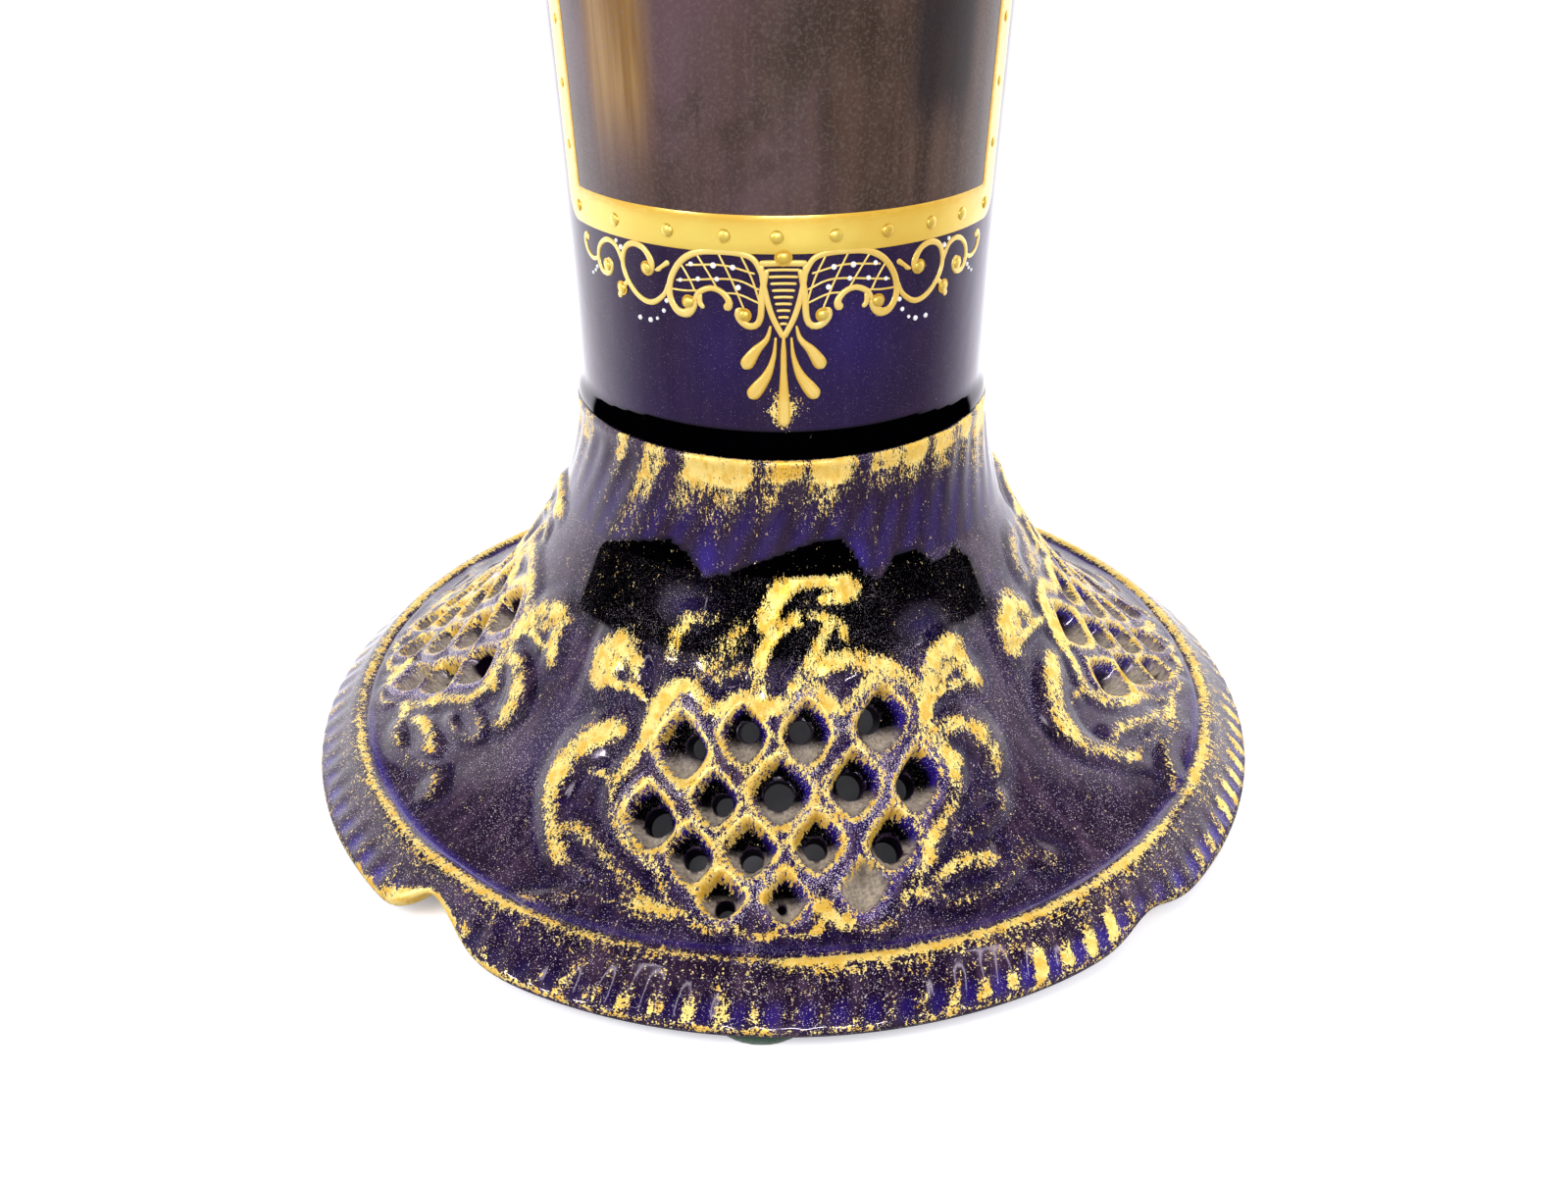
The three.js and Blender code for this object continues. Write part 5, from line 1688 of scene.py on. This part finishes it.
class VASE_OT_stage(bpy.types.Operator):
    """Set up the floor, backdrop, soft lamps, world and camera"""

    bl_idname = "vase.stage"
    bl_label = "Stage"

    def execute(self, context):
        scene = context.scene
        settings = scene.vase_stage
        scene.view_settings.view_transform = "Standard"
        self.floor(scene.vase_foot)
        self.world(scene)
        self.lamps()
        data = bpy.data.cameras.new("camera")
        data.sensor_width = SENSOR_MM
        data.lens = SENSOR_MM * settings.focal_pixels / PHOTO_WIDTH
        data.shift_x = settings.centre_shift / PHOTO_WIDTH
        data.clip_start = 0.01
        camera = bpy.data.objects.new("camera", data)
        camera.location = (0.0, -settings.camera_distance, settings.camera_height)
        camera.rotation_euler = (math.pi / 2 - settings.camera_pitch, settings.camera_roll, 0.0)
        scene.collection.objects.link(camera)
        scene.camera = camera
        return {"FINISHED"}

    def floor(self, foot):
        """A white floor: bright to the camera, softer when mirrored, and shaded under the foot's rim."""
        n = Nodes("pale floor")
        open_floor = n.attribute("open")
        mirrored = n.ray("Is Glossy Ray")
        tone = n.mix(open_floor, (0.6, 0.58, 0.65), (0.86, 0.86, 0.86))
        n.feed("Base Color", n.mix(n.times(mirrored, 0.8), tone, (0.0, 0.0, 0.0)))
        bright = n.plus(n.times(n.attribute("behind"), 1.7), 0.05)
        seen = n.plus(n.times(n.ray("Is Camera Ray"), 0.55), n.times(mirrored, bright))
        glow = n.plus(n.times(open_floor, 0.53), 0.47)
        n.feed("Emission Strength", n.times(seen, glow))
        n.feed("Emission Color", (0.95, 0.94, 1.0))
        n.feed("Roughness", 0.7)
        turn = full_turn(256)
        outline = foot.rim_radius - foot.notch_depth * notch(turn)
        points = np.vstack([place(turn, outline + step * MM, 0.0) for step, _ in FLOOR_STEPS])
        rings = band_faces(len(FLOOR_STEPS), len(turn))
        faces = [list(range(len(turn))), *turned_over(rings)]
        floor = mesh_object("floor", points, faces, n.owner, smooth=False)
        behind = smoothstep(-0.45, 0.6, -np.cos(turn) - 0.15 * np.sin(turn))
        add_number(floor, "open", np.repeat([share for _, share in FLOOR_STEPS], len(turn)))
        add_number(floor, "behind", np.tile(behind, len(FLOOR_STEPS)))

    def world(self, scene):
        """A white backdrop for the camera and a room that is mirrored bright low down and dark overhead."""
        scene.world = bpy.data.worlds.new("pale room")
        n = Nodes("pale room", scene.world)
        towards = n.add("ShaderNodeSeparateXYZ", Vector=n.add("ShaderNodeTexCoord", "Generated")).node.outputs
        low = n.ramp(towards["Z"], 0.5, 0.64, 1.0, 0.0)
        behind = n.ramp(towards["Y"], -0.35, 0.6)
        level = n.times(low, n.plus(n.times(behind, 1.5), 0.45))
        level = n.plus(level, n.plus(n.times(behind, 0.2), 0.03))
        mirrored = n.times(level, n.ray("Is Glossy Ray"))
        scattered = n.times(n.ray("Is Diffuse Ray"), 0.55)
        n.feed("Strength", n.plus(n.ray("Is Camera Ray"), n.plus(mirrored, scattered)))
        n.feed("Color", (1.0, 1.0, 1.0))

    def lamps(self):
        """Soft lamps that light the vase without being mirrored, and narrow ones that are only mirrored."""
        for name, place_at, width, height, power, mirrored in LAMPS:
            data = bpy.data.lights.new(name, "AREA")
            data.shape = "RECTANGLE"
            data.size = width
            data.size_y = height
            data.energy = power
            lamp = bpy.data.objects.new(name, data)
            lamp.location = place_at
            aim = LAMP_AIM - Vector(place_at)
            lamp.rotation_euler = aim.to_track_quat("-Z", "Y").to_euler()
            lamp.visible_glossy = mirrored
            lamp.visible_diffuse = not mirrored
            bpy.context.scene.collection.objects.link(lamp)


OPERATORS = (
    VASE_OT_stage,
    VASE_OT_foot,
    VASE_OT_body,
    VASE_OT_painted_panel,
    VASE_OT_frame_band,
    VASE_OT_scrollwork,
    VASE_OT_fixings,
    VASE_OT_felt_pads,
)


class VASE_PT_sidebar(bpy.types.Panel):
    """The steps that build the vase, in order"""

    bl_idname = "VASE_PT_sidebar"
    bl_label = "Gilded porcelain vase"
    bl_space_type = "VIEW_3D"
    bl_region_type = "UI"
    bl_category = "Vase"

    def draw(self, context):
        for operator in OPERATORS:
            self.layout.operator(operator.bl_idname)


SETTINGS = {
    "vase_foot": FootSettings,
    "vase_panel": PanelSettings,
    "vase_body": BodySettings,
    "vase_gilt": GiltSettings,
    "vase_glaze": GlazeSettings,
    "vase_stage": StageSettings,
}
CLASSES = (*SETTINGS.values(), *OPERATORS, VASE_PT_sidebar)


def register():
    for item in CLASSES:
        bpy.utils.register_class(item)
    for name, group in SETTINGS.items():
        setattr(bpy.types.Scene, name, bpy.props.PointerProperty(type=group))


def unregister():
    for name in SETTINGS:
        delattr(bpy.types.Scene, name)
    for item in reversed(CLASSES):
        bpy.utils.unregister_class(item)


def main():
    register()
    bpy.ops.vase.stage()
    bpy.ops.vase.foot()
    bpy.ops.vase.body()
    bpy.ops.vase.painted_panel()
    bpy.ops.vase.frame_band()
    bpy.ops.vase.scrollwork()
    bpy.ops.vase.fixings()
    bpy.ops.vase.felt_pads()


if __name__ == "__main__":
    main()
